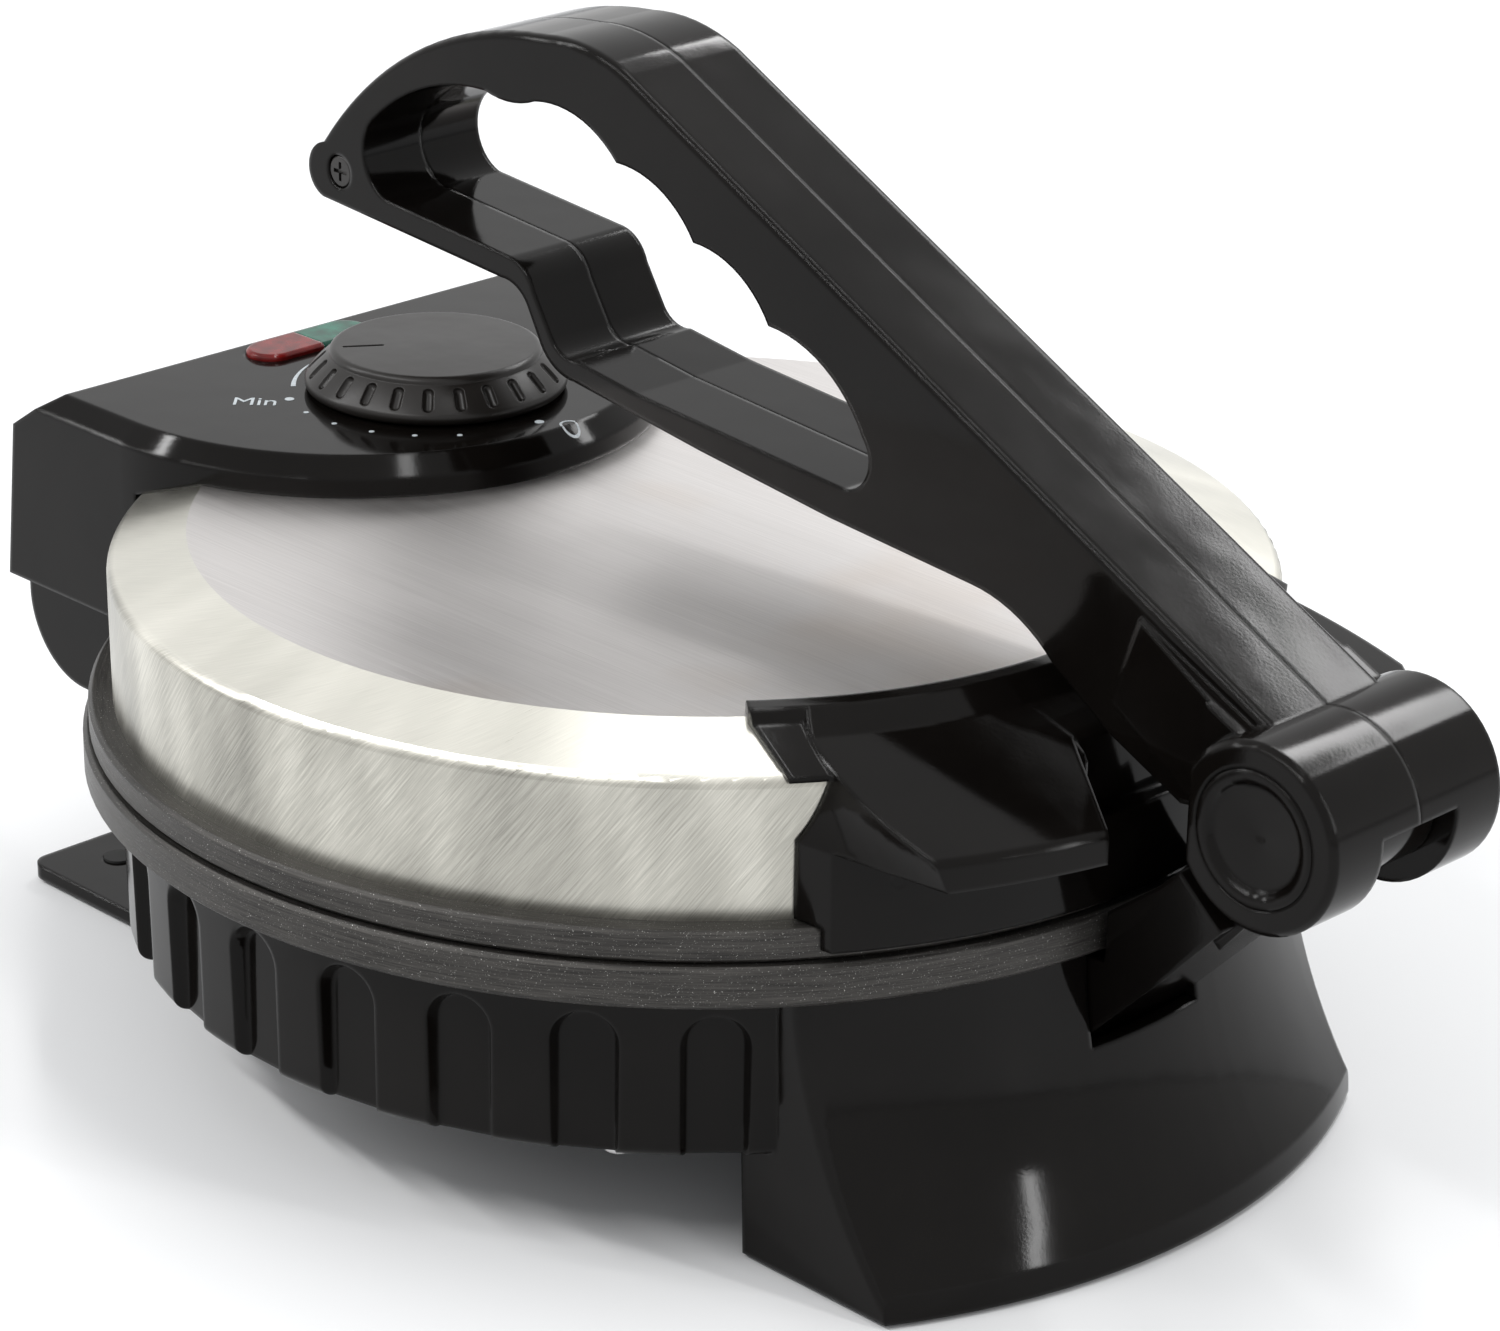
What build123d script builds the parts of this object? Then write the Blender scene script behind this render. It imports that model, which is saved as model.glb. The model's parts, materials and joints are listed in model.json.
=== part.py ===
from build123d import *
import os
from math import cos, radians, sin, sqrt

# Electric roti maker, in millimetres.
# Origin: the middle of the footprint, on the surface that the feet stand on.
# The model is drawn about the axis of the cooking plates and moved to that origin at the end.
# +Z is up, +X is the front, where the press lever turns on its arm.

# ---------------------------------------------------------------- driving dimensions
lid_r = 112.0  # steel cover at its top edge
rim_w = 15.2  # sloping brushed rim of the cover
upper_ledge = 4.4  # how far the cooking plates reach beyond the cover
lower_ledge = 5.6
skirt_step = 1.0
skirt_wall = 5.5
moulding = 3.0  # general wall of the mouldings
sheet = 0.8  # steel cover and reflectors
fit = 0.4  # clearance beside parts that pass each other
turn_fit = 0.05  # radial running clearance of the pins

foot_z = 1.0
skirt_z = 24.0
seat_z = 56.8  # top of the base housing
lower_plate_h = 8.2
upper_plate_h = 6.2
plate_gap = 0.3
cover_h = 26.4
cover_rise = 5.4  # of the cover's sloping rim
panel_rise = 7.6  # of the control box above the cover
seam_z = seat_z + lower_plate_h  # where the two cooking plates meet
rim_z = seam_z + upper_plate_h  # top of the upper plate's ring
edge_z = rim_z + cover_h  # top edge of the steel cover
crown_z = edge_z + cover_rise
panel_z = crown_z + panel_rise

hinge_gap = 11.4  # from the lower plate to the hinge's axis
hinge_drop = 5.4  # from the seam to the hinge's axis
hinge_pin_r = 4.0
pivot_reach = 40.7  # from the upper plate to the lever's axis
pivot_drop = 2.3  # from the cover's edge to the lever's axis
pivot_pin_r = 4.0
knob_inset = 37.0  # from the cover's edge to the knob's axis

disc_r = lid_r - rim_w  # polished top of the cover
upper_ring_r = lid_r + upper_ledge
lower_ring_r = lid_r + lower_ledge
skirt_r = lid_r - skirt_step
hinge_x = -(lower_ring_r + hinge_gap)
pivot_x = upper_ring_r + pivot_reach
knob_x = knob_inset - lid_r
hinge_z = seam_z - hinge_drop
pivot_z = edge_z - pivot_drop

# screw threads, shank radius: small, medium and large
screw_r = 1.5
screw_hole_r = 1.7
bolt_r = 2.0
stud_r = 2.5
screw_boss_r = 5.0

# ---------------------------------------------------------------- base housing
foot_half_low = 64.5
foot_taper = -2.05  # degrees
foot_corner = 3.5
foot_back_x = skirt_r - 31
foot_front_top = skirt_r + 4.6
foot_front_low = foot_front_top + 16.6
foot_y = 48.0
foot_boss_y = 36.0
arm_half = 14.0
arm_slot_z = 38.4
arm_bolt_x = foot_back_x + 17
deck_low = 30.0
deck_high = 34.0
pillar_back_x = hinge_x - 8
pillar_front_x = 11 - skirt_r
pillar_half = 30.0
pillar_z = seat_z - 10.8
pillar_roof = 4.0
tab_back_x = pillar_back_x + 1
tab_front_x = 19 - skirt_r
tab_half = 61.0
tab_z = 4.0
foot_cover_z = foot_z + 2
flute_pitch = 12
flute_start = 42
flutes = 10
flute_half = 7.0
flute_top = seat_z - 4.8
flute_floor_r = skirt_r - 3.4
post_angle = 60
posts = 3
post_ring_r = skirt_r - 19
post_r = 5.0
nut_r = 4.6
nut_h = 4.0
boss_z = seat_z - 14.8
boss_h = 10.0
cover_z = skirt_z + 2.5
cover_boss_r = skirt_r - 8.5
cover_boss_angles = (51.3, -51.3, 136, -136)
cover_bosses = [(cover_boss_r * cos(radians(a)), cover_boss_r * sin(radians(a))) for a in cover_boss_angles]
foot_plug_r = 3.0
foot_bosses = [(arm_bolt_x, foot_boss_y), (arm_bolt_x, -foot_boss_y)]
front_feet = [(foot_back_x + 27, foot_y), (foot_back_x + 27, -foot_y)]
rear_feet = [(hinge_x + 4.5, foot_y - 1.5), (hinge_x + 4.5, 1.5 - foot_y)]
arm_bolt_points = [(arm_bolt_x, arm_half + 8), (arm_bolt_x, -arm_half - 8)]
hinge_bolt_points = [(hinge_x + 12.5, 18), (hinge_x + 12.5, -18)]
gland_z = 22.0
gland_r = 6.0
gland_flange_r = 8.0
cord_r = 3.6


def foot_block(inset, low, high):
    """Front foot: a turned, flaring front cut by two tapering sides."""
    with BuildPart() as block:
        with BuildSketch(Plane.XZ):
            with BuildLine():
                ThreePointArc(
                    (foot_front_top - inset, seat_z),
                    (foot_front_top + 4.8 - inset, deck_low),
                    (foot_front_low - 0.4 - inset, 6.5),
                )
                Polyline(
                    (foot_front_low - 0.4 - inset, 6.5),
                    (foot_front_low - inset, foot_z),
                    (foot_back_x - 20, foot_z),
                    (foot_back_x - 20, seat_z),
                    (foot_front_top - inset, seat_z),
                )
            make_face()
        revolve(axis=Axis.Z)
        with BuildSketch(Plane.XY.offset(foot_z)):
            with Locations((foot_back_x + inset, 0)):
                Rectangle(80, 2 * (foot_half_low - inset), align=(Align.MIN, Align.CENTER))
        extrude(amount=seat_z - foot_z, taper=foot_taper, mode=Mode.INTERSECT)
        corners = block.edges().filter_by(
            lambda e: e.length > 48 and abs(e.center().Y) > 40 and e.center().X > foot_back_x + 15
        )
        fillet(corners, foot_corner - inset)
        with BuildSketch(Plane.XY.offset(low)):
            with Locations((foot_back_x + inset, 0)):
                Rectangle(80, 160, align=(Align.MIN, Align.CENTER))
        extrude(amount=high - low, mode=Mode.INTERSECT)
    return block.part


with BuildPart() as flute:
    with BuildSketch(Plane(origin=(flute_floor_r, 0, 0), x_dir=(0, 1, 0), z_dir=(1, 0, 0))):
        with Locations((0, (flute_top + skirt_z) / 2 - 6)):
            SlotOverall(flute_top - skirt_z + 10, 2 * flute_half - 4, rotation=90)
    extrude(amount=6, taper=-24)

with BuildPart() as base_housing:
    with BuildSketch(Plane.XZ):
        with BuildLine():
            Polyline((0, seat_z), (0, skirt_z), (skirt_r - 3, skirt_z))
            ThreePointArc(
                (skirt_r - 3, skirt_z),
                (skirt_r - 1.4, skirt_z + 0.7),
                (skirt_r - 0.7, skirt_z + 2.3),
            )
            Polyline((skirt_r - 0.7, skirt_z + 2.3), (skirt_r, seat_z), (0, seat_z))
        make_face()
    revolve(axis=Axis.Z)
    for step in range(flutes):
        for side in (-1, 1):
            with Locations(Location((0, 0, 0), (0, 0, side * (flute_start + flute_pitch * step)))):
                add(flute.part, mode=Mode.SUBTRACT)
    add(foot_block(0, foot_z, seat_z))
    with BuildSketch(Plane.XY.offset(foot_z)):
        with Locations(((pillar_back_x + pillar_front_x) / 2, 0)):
            Rectangle(pillar_front_x - pillar_back_x, 2 * pillar_half)
    extrude(amount=pillar_z - foot_z)
    with BuildSketch(Plane.XY.offset(foot_z)):
        with Locations(((tab_back_x + tab_front_x) / 2, 0)):
            RectangleRounded(tab_front_x - tab_back_x, 2 * tab_half, 4)
    extrude(amount=tab_z - foot_z)
    # hollow drum, front foot and rear pillar
    with BuildSketch(Plane.XY.offset(skirt_z)):
        Circle(skirt_r - skirt_wall)
    extrude(amount=seat_z - skirt_z, mode=Mode.SUBTRACT)
    add(foot_block(moulding, foot_z, deck_low), mode=Mode.SUBTRACT)
    add(foot_block(moulding, deck_high, seat_z - moulding), mode=Mode.SUBTRACT)
    with BuildSketch(Plane.XY.offset(foot_z)):
        with Locations(((pillar_back_x + pillar_front_x) / 2, 0)):
            Rectangle(pillar_front_x - pillar_back_x - 2 * moulding, 2 * (pillar_half - moulding))
    extrude(amount=pillar_z - pillar_roof - foot_z, mode=Mode.SUBTRACT)
    # deck across the foot, which carries the press arm
    add(foot_block(0, deck_low, deck_high))
    # way out for the press arm
    with BuildSketch(Plane.XY.offset(arm_slot_z)):
        with Locations((foot_front_top, 0)):
            Rectangle(30, 2 * (arm_half + fit))
    extrude(amount=seat_z - arm_slot_z, mode=Mode.SUBTRACT)
    with BuildSketch(Plane.XY.offset(deck_low)):
        with Locations((arm_bolt_x + 1.5, 0)):
            Rectangle(25, 2 * (arm_half + fit))
    extrude(amount=deck_high - deck_low, mode=Mode.SUBTRACT)
    # plate bosses on ribs from the skirt
    with BuildSketch(Plane.XY.offset(boss_z - boss_h)):
        with PolarLocations(post_ring_r, posts, start_angle=post_angle):
            Circle(post_r + 2)
            Rectangle(16, 6, align=(Align.MIN, Align.CENTER))
            Circle(stud_r, mode=Mode.SUBTRACT)
    extrude(amount=boss_h)
    # bosses for the covers
    with BuildSketch(Plane.XY.offset(cover_z)):
        with Locations(*cover_bosses):
            Circle(screw_boss_r)
    extrude(amount=12)
    with BuildSketch(Plane.XY.offset(foot_cover_z)):
        with Locations(*foot_bosses):
            Circle(screw_boss_r)
    extrude(amount=deck_low - foot_cover_z)
    with BuildSketch(Plane.XY.offset(cover_z)):
        with Locations(*cover_bosses):
            Circle(screw_r)
    extrude(amount=9, mode=Mode.SUBTRACT)
    with BuildSketch(Plane.XY.offset(foot_cover_z)):
        with Locations(*foot_bosses):
            Circle(screw_r)
    extrude(amount=9, mode=Mode.SUBTRACT)
    # bolt holes of the arm and of the hinge bracket
    with BuildSketch(Plane.XY.offset(deck_low)):
        with Locations(*arm_bolt_points):
            Circle(stud_r)
    extrude(amount=deck_high - deck_low, mode=Mode.SUBTRACT)
    with BuildSketch(Plane.XY.offset(pillar_z - pillar_roof)):
        with Locations(*hinge_bolt_points):
            Circle(bolt_r)
    extrude(amount=pillar_roof, mode=Mode.SUBTRACT)
    # cord opening and foot holes
    with BuildSketch(Plane(origin=(pillar_back_x, 0, gland_z), x_dir=(0, 1, 0), z_dir=(1, 0, 0))):
        Circle(gland_r)
    extrude(amount=moulding, mode=Mode.SUBTRACT)
    with BuildSketch(Plane.XY.offset(foot_z)):
        with Locations(*rear_feet):
            Circle(foot_plug_r)
    extrude(amount=tab_z - foot_z, mode=Mode.SUBTRACT)


def screw(head_r, head_h, shank_r, length):
    """Pan-head screw: head's seat at z = 0, shank along +Z."""
    with BuildPart() as fastener:
        with BuildSketch(Plane.XY.offset(-head_h)):
            Circle(head_r)
        extrude(amount=head_h)
        fillet(fastener.edges().group_by(Axis.Z)[0], head_h * 0.4)
        with BuildSketch():
            Circle(shank_r)
        extrude(amount=length)
        with BuildSketch(Plane.XY.offset(-head_h)):
            Rectangle(head_r * 1.2, 0.8)
            Rectangle(0.8, head_r * 1.2)
        extrude(amount=head_h * 0.5, mode=Mode.SUBTRACT)
    return fastener.part


with BuildPart() as base_cover:
    with BuildSketch(Plane.XY.offset(skirt_z)):
        Circle(skirt_r - skirt_wall - 0.2)
        with Locations(((foot_back_x + pillar_front_x) / 2, 0)):
            Rectangle(foot_back_x - pillar_front_x - 0.4, 240, mode=Mode.INTERSECT)
        with Locations(*cover_bosses):
            Circle(screw_hole_r, mode=Mode.SUBTRACT)
        with GridLocations(12, 50, 7, 2):
            SlotOverall(36, 4, rotation=90, mode=Mode.SUBTRACT)
    extrude(amount=cover_z - skirt_z)

with BuildPart() as cover_screws:
    with Locations(*[(x, y, skirt_z) for x, y in cover_bosses]):
        add(screw(3.2, 2.2, screw_r, 10))

with BuildPart() as foot_cover:
    add(foot_block(moulding + 0.2, foot_z, foot_cover_z))
    with BuildSketch(Plane.XY.offset(foot_z)):
        with Locations(*foot_bosses):
            Circle(screw_hole_r)
        with Locations(*front_feet):
            Circle(foot_plug_r)
    extrude(amount=foot_cover_z - foot_z, mode=Mode.SUBTRACT)

with BuildPart() as foot_screws:
    with Locations(*[(x, y, foot_z) for x, y in foot_bosses]):
        add(screw(3, 0.8, screw_r, 9))

foot_pad_r = 8.0
with BuildPart() as rubber_feet:
    with BuildSketch():
        with Locations(*front_feet, *rear_feet):
            Circle(foot_pad_r)
    extrude(amount=foot_z)
    with BuildSketch(Plane.XY.offset(foot_z)):
        with Locations(*front_feet):
            Circle(foot_plug_r)
    extrude(amount=foot_cover_z - foot_z)
    with BuildSketch(Plane.XY.offset(foot_z)):
        with Locations(*rear_feet):
            Circle(foot_plug_r)
    extrude(amount=tab_z + 0.5 - foot_z)

# ---------------------------------------------------------------- cooking plates and heaters
plate_web = 6.0
heater_ring_r = 70.0
heater_r = 4.0
heater_gap = 20  # half the gap between the element's ends, degrees
heater_pin_r = 2.5
pin_clear_r = heater_pin_r + 2.5
clip_low_r = heater_ring_r - 11
clip_high_r = heater_ring_r + 11
rib_rs = (heater_ring_r - 6, heater_ring_r + 4.6)
rib_h = 2.5
strap_t = 1.2
clip_count = 3
plate_step_r = lid_r - 9  # where the plates thicken to their rings


def cooking_plate(face_z, outer_r, ring_h, away):
    """Cast plate; away is +1 when its heater lies above it, -1 when below."""
    back_z = face_z + away * plate_web
    rim_back = face_z + away * ring_h
    with BuildPart() as plate:
        with BuildSketch(Plane.XZ):
            with BuildLine():
                Polyline(
                    (0, face_z),
                    (outer_r - 0.8, face_z),
                    (outer_r, face_z + away * 0.8),
                    (outer_r, rim_back - away * 0.8),
                    (outer_r - 0.8, rim_back),
                    (plate_step_r, rim_back),
                    (plate_step_r - 2, back_z),
                    (0, back_z),
                    close=True,
                )
            make_face()
            for rib in rib_rs:
                with Locations((rib, back_z)):
                    Rectangle(1.4, 2 * rib_h, align=(Align.MIN, Align.CENTER))
        revolve(axis=Axis.Z)
    return plate.part


def heater(centre_z, away, pin_end, turn):
    """Tubular element bent to a ring, with a pin down from each end."""
    with BuildPart() as element:
        with BuildSketch(Plane.XZ.rotated((0, 0, turn + heater_gap))):
            with Locations((heater_ring_r, centre_z)):
                Circle(heater_r)
        revolve(axis=Axis.Z, revolution_arc=360 - 2 * heater_gap)
        for side in (-1, 1):
            angle = radians(turn + side * heater_gap)
            with Locations((heater_ring_r * cos(angle), heater_ring_r * sin(angle), centre_z)):
                Sphere(heater_r)
                Cylinder(
                    heater_pin_r,
                    abs(pin_end - centre_z),
                    align=(Align.CENTER, Align.CENTER, Align.MIN if away > 0 else Align.MAX),
                )
    return element.part


def clip_points(turn):
    """Screw positions of the three clips that hold a heater."""
    return [
        (r * cos(radians(turn + 60 + 120 * k)), r * sin(radians(turn + 60 + 120 * k)))
        for k in range(clip_count)
        for r in (clip_low_r, clip_high_r)
    ]


def clips(back_z, away, turn):
    """Hat-shaped straps across the heater, screwed to the plate."""
    drop = 2 * heater_r + strap_t
    with BuildPart() as straps:
        for k in range(clip_count):
            with BuildSketch(Plane.XZ.rotated((0, 0, turn + 60 + 120 * k))):
                with BuildLine():
                    Polyline(
                        (clip_low_r - 4, back_z),
                        (clip_low_r + 4, back_z),
                        (clip_low_r + 4, back_z + away * (drop - strap_t)),
                        (clip_high_r - 4, back_z + away * (drop - strap_t)),
                        (clip_high_r - 4, back_z),
                        (clip_high_r + 4, back_z),
                        (clip_high_r + 4, back_z + away * strap_t),
                        (clip_high_r - 2.8, back_z + away * strap_t),
                        (clip_high_r - 2.8, back_z + away * drop),
                        (clip_low_r + 2.8, back_z + away * drop),
                        (clip_low_r + 2.8, back_z + away * strap_t),
                        (clip_low_r - 4, back_z + away * strap_t),
                        close=True,
                    )
                make_face()
            extrude(amount=5, both=True)
        with Locations(*[(x, y, back_z) for x, y in clip_points(turn)]):
            Cylinder(screw_r, 6, mode=Mode.SUBTRACT)
    return straps.part


lower_face_z = seam_z - plate_gap / 2
upper_face_z = seam_z + plate_gap / 2
lower_back_z = lower_face_z - plate_web
upper_back_z = upper_face_z + plate_web
upper_turn = 180  # the upper heater's pins point to the hinge
reflector_z = rim_z + 10.8
lower_pin_z = boss_z - 4.2
upper_pin_z = reflector_z + 6
lower_tray_r = skirt_r - 12
upper_tray_r = lid_r - 11
stud_depth = 4.0  # of the studs in the cast plates
stud_low_z = boss_z - boss_h - nut_h - 1

with BuildPart() as lower_plate:
    add(cooking_plate(lower_face_z, lower_ring_r, lower_face_z - seat_z, -1))
    with Locations(*[(x, y, lower_back_z) for x, y in clip_points(0)]):
        Cylinder(screw_r, 8, mode=Mode.SUBTRACT)
    with PolarLocations(post_ring_r, posts, start_angle=post_angle):
        with Locations((0, 0, lower_back_z)):
            Cylinder(stud_r, 8, mode=Mode.SUBTRACT)

with BuildPart() as lower_heater:
    add(heater(lower_back_z - heater_r, -1, lower_pin_z, 0))

with BuildPart() as lower_clips:
    add(clips(lower_back_z, -1, 0))

with BuildPart() as lower_clip_screws:
    with Locations(*[(x, y, lower_back_z - strap_t) for x, y in clip_points(0)]):
        add(screw(2.8, 2, screw_r, 5.2))

with BuildPart() as lower_posts:
    with BuildSketch(Plane.XY.offset(boss_z + sheet)):
        with PolarLocations(post_ring_r, posts, start_angle=post_angle):
            RegularPolygon(post_r, 6)
    extrude(amount=lower_back_z - boss_z - sheet)
    with BuildSketch(Plane.XY.offset(stud_low_z)):
        with PolarLocations(post_ring_r, posts, start_angle=post_angle):
            Circle(stud_r)
    extrude(amount=lower_back_z + stud_depth - stud_low_z)

with BuildPart() as post_nuts:
    with BuildSketch(Plane.XY.offset(boss_z - boss_h - nut_h)):
        with PolarLocations(post_ring_r, posts, start_angle=post_angle):
            RegularPolygon(nut_r, 6)
            Circle(stud_r, mode=Mode.SUBTRACT)
    extrude(amount=nut_h)

with BuildPart() as lower_reflector:
    with BuildSketch(Plane.XZ):
        with BuildLine():
            Polyline(
                (0, boss_z),
                (lower_tray_r, boss_z),
                (lower_tray_r, boss_z + 8),
                (lower_tray_r - sheet, boss_z + 8),
                (lower_tray_r - sheet, boss_z + sheet),
                (0, boss_z + sheet),
                close=True,
            )
        make_face()
    revolve(axis=Axis.Z)
    with BuildSketch(Plane.XY.offset(boss_z)):
        with PolarLocations(post_ring_r, posts, start_angle=post_angle):
            Circle(stud_r)
        for side in (-1, 1):
            angle = radians(side * heater_gap)
            with Locations((heater_ring_r * cos(angle), heater_ring_r * sin(angle))):
                Circle(pin_clear_r)
    extrude(amount=sheet, mode=Mode.SUBTRACT)

fuse_x = 30.0
fuse_r = 2.5
fuse_strap = 1.0
with BuildPart() as thermal_fuse:
    for radius, half_length in ((fuse_r, 6), (0.6, 14)):
        with BuildSketch(Plane.XZ):
            with Locations((fuse_x, lower_back_z - fuse_r)):
                Circle(radius)
        extrude(amount=half_length, both=True)

with BuildPart() as fuse_clip:
    with BuildSketch(Plane.XZ):
        with BuildLine():
            Polyline(
                (fuse_x - 3.6, lower_back_z),
                (fuse_x - 3.6, lower_back_z - 2 * fuse_r),
                (fuse_x + 3.6, lower_back_z - 2 * fuse_r),
                (fuse_x + 3.6, lower_back_z),
                (fuse_x + 13, lower_back_z),
                (fuse_x + 13, lower_back_z - fuse_strap),
                (fuse_x + 3.6 + fuse_strap, lower_back_z - fuse_strap),
                (fuse_x + 3.6 + fuse_strap, lower_back_z - 2 * fuse_r - fuse_strap),
                (fuse_x - 3.6 - fuse_strap, lower_back_z - 2 * fuse_r - fuse_strap),
                (fuse_x - 3.6 - fuse_strap, lower_back_z),
                close=True,
            )
        make_face()
    extrude(amount=3, both=True)

block_x = 40.0
block_half = 15.0
block_depth = 16.0
block_h = 11.0
block_pitch = 10.0
with BuildPart() as terminal_block:
    with BuildSketch(Plane.XY.offset(cover_z)):
        with Locations((block_x, 0)):
            Rectangle(block_depth, 2 * block_half)
    extrude(amount=block_h)
    with BuildSketch(Plane.XY.offset(cover_z + block_h)):
        with Locations((block_x, 0)):
            with GridLocations(0, block_pitch, 1, 3):
                Circle(2)
    extrude(amount=-4, mode=Mode.SUBTRACT)

wire_r = 1.2
base_wire_z = cover_z + 5
pin_x = heater_ring_r * cos(radians(heater_gap))
pin_y = heater_ring_r * sin(radians(heater_gap))
with BuildPart() as base_wiring:
    for side in (-1, 1):
        with BuildLine():
            FilletPolyline(
                (block_x + block_depth / 2, side * block_pitch, base_wire_z),
                (pin_x, side * block_pitch, base_wire_z),
                (pin_x, side * pin_y, base_wire_z),
                (pin_x, side * pin_y, lower_pin_z),
                radius=4,
            )
        with BuildSketch(
            Plane(origin=(block_x + block_depth / 2, side * block_pitch, base_wire_z), z_dir=(1, 0, 0))
        ):
            Circle(wire_r)
        sweep()

with BuildPart() as cord_gland:
    with BuildSketch(Plane(origin=(pillar_back_x, 0, gland_z), x_dir=(0, 1, 0), z_dir=(-1, 0, 0))):
        Circle(gland_flange_r)
        Circle(cord_r, mode=Mode.SUBTRACT)
    extrude(amount=2)
    with BuildSketch(Plane(origin=(pillar_back_x, 0, gland_z), x_dir=(0, 1, 0), z_dir=(1, 0, 0))):
        Circle(gland_r)
        Circle(cord_r, mode=Mode.SUBTRACT)
    extrude(amount=moulding + 3)

# ---------------------------------------------------------------- press arm
eye_half = 9.6
arm_angle = 229.4  # direction of the arm seen from its eye, degrees
eye_r = 13.0
bush_r = 6.0
arm_flange = 6.0
arm_flange_low_z = deck_low - arm_flange
arm_step_x = skirt_r - 5  # where the arm leaves its foot
with BuildPart() as press_arm:
    with BuildSketch(Plane.XZ):
        with BuildLine():
            Polyline(
                (arm_bolt_x - 10, arm_flange_low_z),
                (arm_bolt_x + 15, arm_flange_low_z),
                (arm_bolt_x + 15, deck_low),
                (arm_step_x, deck_low),
                (arm_step_x + 3.4, deck_low + 3.8),
                (arm_step_x + 12.8, deck_low + 13.6),
                (arm_step_x + 25.5, deck_low + 26.7),
                (arm_step_x + 38.4, deck_low + 40.6),
                (arm_step_x + 32, deck_low + 46),
                (arm_step_x + 28.5, deck_low + 49),
                (arm_step_x + 24, deck_low + 44.5),
                (arm_step_x + 12.9, deck_low + 35.8),
                (arm_step_x + 12.6, deck_low + 26),
                (arm_step_x + 7, deck_low + 25.4),
                (arm_step_x - 5.5, deck_low + 11.5),
                (arm_step_x - 15, deck_low + 6),
                (arm_bolt_x - 10, deck_low),
                close=True,
            )
        make_face()
    extrude(amount=arm_half, both=True)
    with BuildSketch(Plane.XZ):
        with Locations((pivot_x, pivot_z)):
            Circle(eye_r)
        with Locations(Location((pivot_x, pivot_z), arm_angle)):
            Rectangle(34, 15, align=(Align.MIN, Align.CENTER))
    extrude(amount=eye_half, both=True)
    with BuildSketch(Plane.XY.offset(arm_flange_low_z)):
        with Locations((arm_bolt_x + 2.5, 0)):
            RectangleRounded(25, 4 * arm_half, 4)
    extrude(amount=arm_flange)
    with Locations(*[(x, y, deck_low - arm_flange / 2) for x, y in arm_bolt_points]):
        Cylinder(stud_r, arm_flange, mode=Mode.SUBTRACT)
    with Locations(Location((pivot_x, 0, pivot_z), (90, 0, 0))):
        Cylinder(bush_r, 2 * eye_half, mode=Mode.SUBTRACT)

with BuildPart() as arm_bush:
    with Locations(Location((pivot_x, 0, pivot_z), (90, 0, 0))):
        Cylinder(bush_r, 2 * eye_half)
        Cylinder(pivot_pin_r + turn_fit, 2 * eye_half, mode=Mode.SUBTRACT)

with BuildPart() as arm_bolts:
    with Locations(*[(x, y, arm_flange_low_z) for x, y in arm_bolt_points]):
        add(screw(4.5, 3.5, stud_r, 14))

with BuildPart() as arm_nuts:
    with BuildSketch(Plane.XY.offset(deck_high)):
        with Locations(*arm_bolt_points):
            RegularPolygon(nut_r, 6)
            Circle(stud_r, mode=Mode.SUBTRACT)
    extrude(amount=nut_h)

# ---------------------------------------------------------------- rear hinge
barrel_r = 8.5
knuckle_r = 17.5
knuckle_inner = 44.0
knuckle_outer = 50.0
pin_half = knuckle_outer - 2
hinge_foot_h = 4.0
bracket_nut_r = 3.8
bracket_nut_h = 3.2
with BuildPart() as hinge_bracket:
    with BuildSketch(Plane.XZ):
        with Locations((hinge_x + 1, pillar_z)):
            Rectangle(14, hinge_z - pillar_z, align=(Align.CENTER, Align.MIN))
    extrude(amount=pillar_half, both=True)
    with BuildSketch(Plane.XY.offset(pillar_z)):
        with Locations((pillar_back_x + 1, 0)):
            Rectangle(25, 2 * pillar_half, align=(Align.MIN, Align.CENTER))
    extrude(amount=hinge_foot_h)
    with Locations(Location((hinge_x, 0, hinge_z), (90, 0, 0))):
        Cylinder(barrel_r, 2 * (knuckle_inner - fit))
        Cylinder(hinge_pin_r, 2 * knuckle_inner, mode=Mode.SUBTRACT)
    with Locations(*[(x, y, pillar_z + hinge_foot_h / 2) for x, y in hinge_bolt_points]):
        Cylinder(bolt_r, hinge_foot_h, mode=Mode.SUBTRACT)

with BuildPart() as bracket_bolts:
    with Locations(*[Location((x, y, pillar_z + hinge_foot_h), (180, 0, 0)) for x, y in hinge_bolt_points]):
        add(screw(3.6, 2.4, bolt_r, 12))

with BuildPart() as bracket_nuts:
    with BuildSketch(Plane.XY.offset(pillar_z - pillar_roof - bracket_nut_h)):
        with Locations(*hinge_bolt_points):
            RegularPolygon(bracket_nut_r, 6)
            Circle(bolt_r, mode=Mode.SUBTRACT)
    extrude(amount=bracket_nut_h)

with BuildPart() as hinge_pin:
    with Locations(Location((hinge_x, 0, hinge_z), (90, 0, 0))):
        Cylinder(hinge_pin_r, 2 * pin_half)
    chamfer(hinge_pin.edges().filter_by(GeomType.CIRCLE), 0.6)

# ---------------------------------------------------------------- lid
shell_low_r = lid_r - 0.3


def slope_z(r):
    """Height of the cover's sloping rim at radius r."""
    return crown_z - (r - disc_r) * (crown_z - edge_z) / (lid_r - disc_r)


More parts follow.
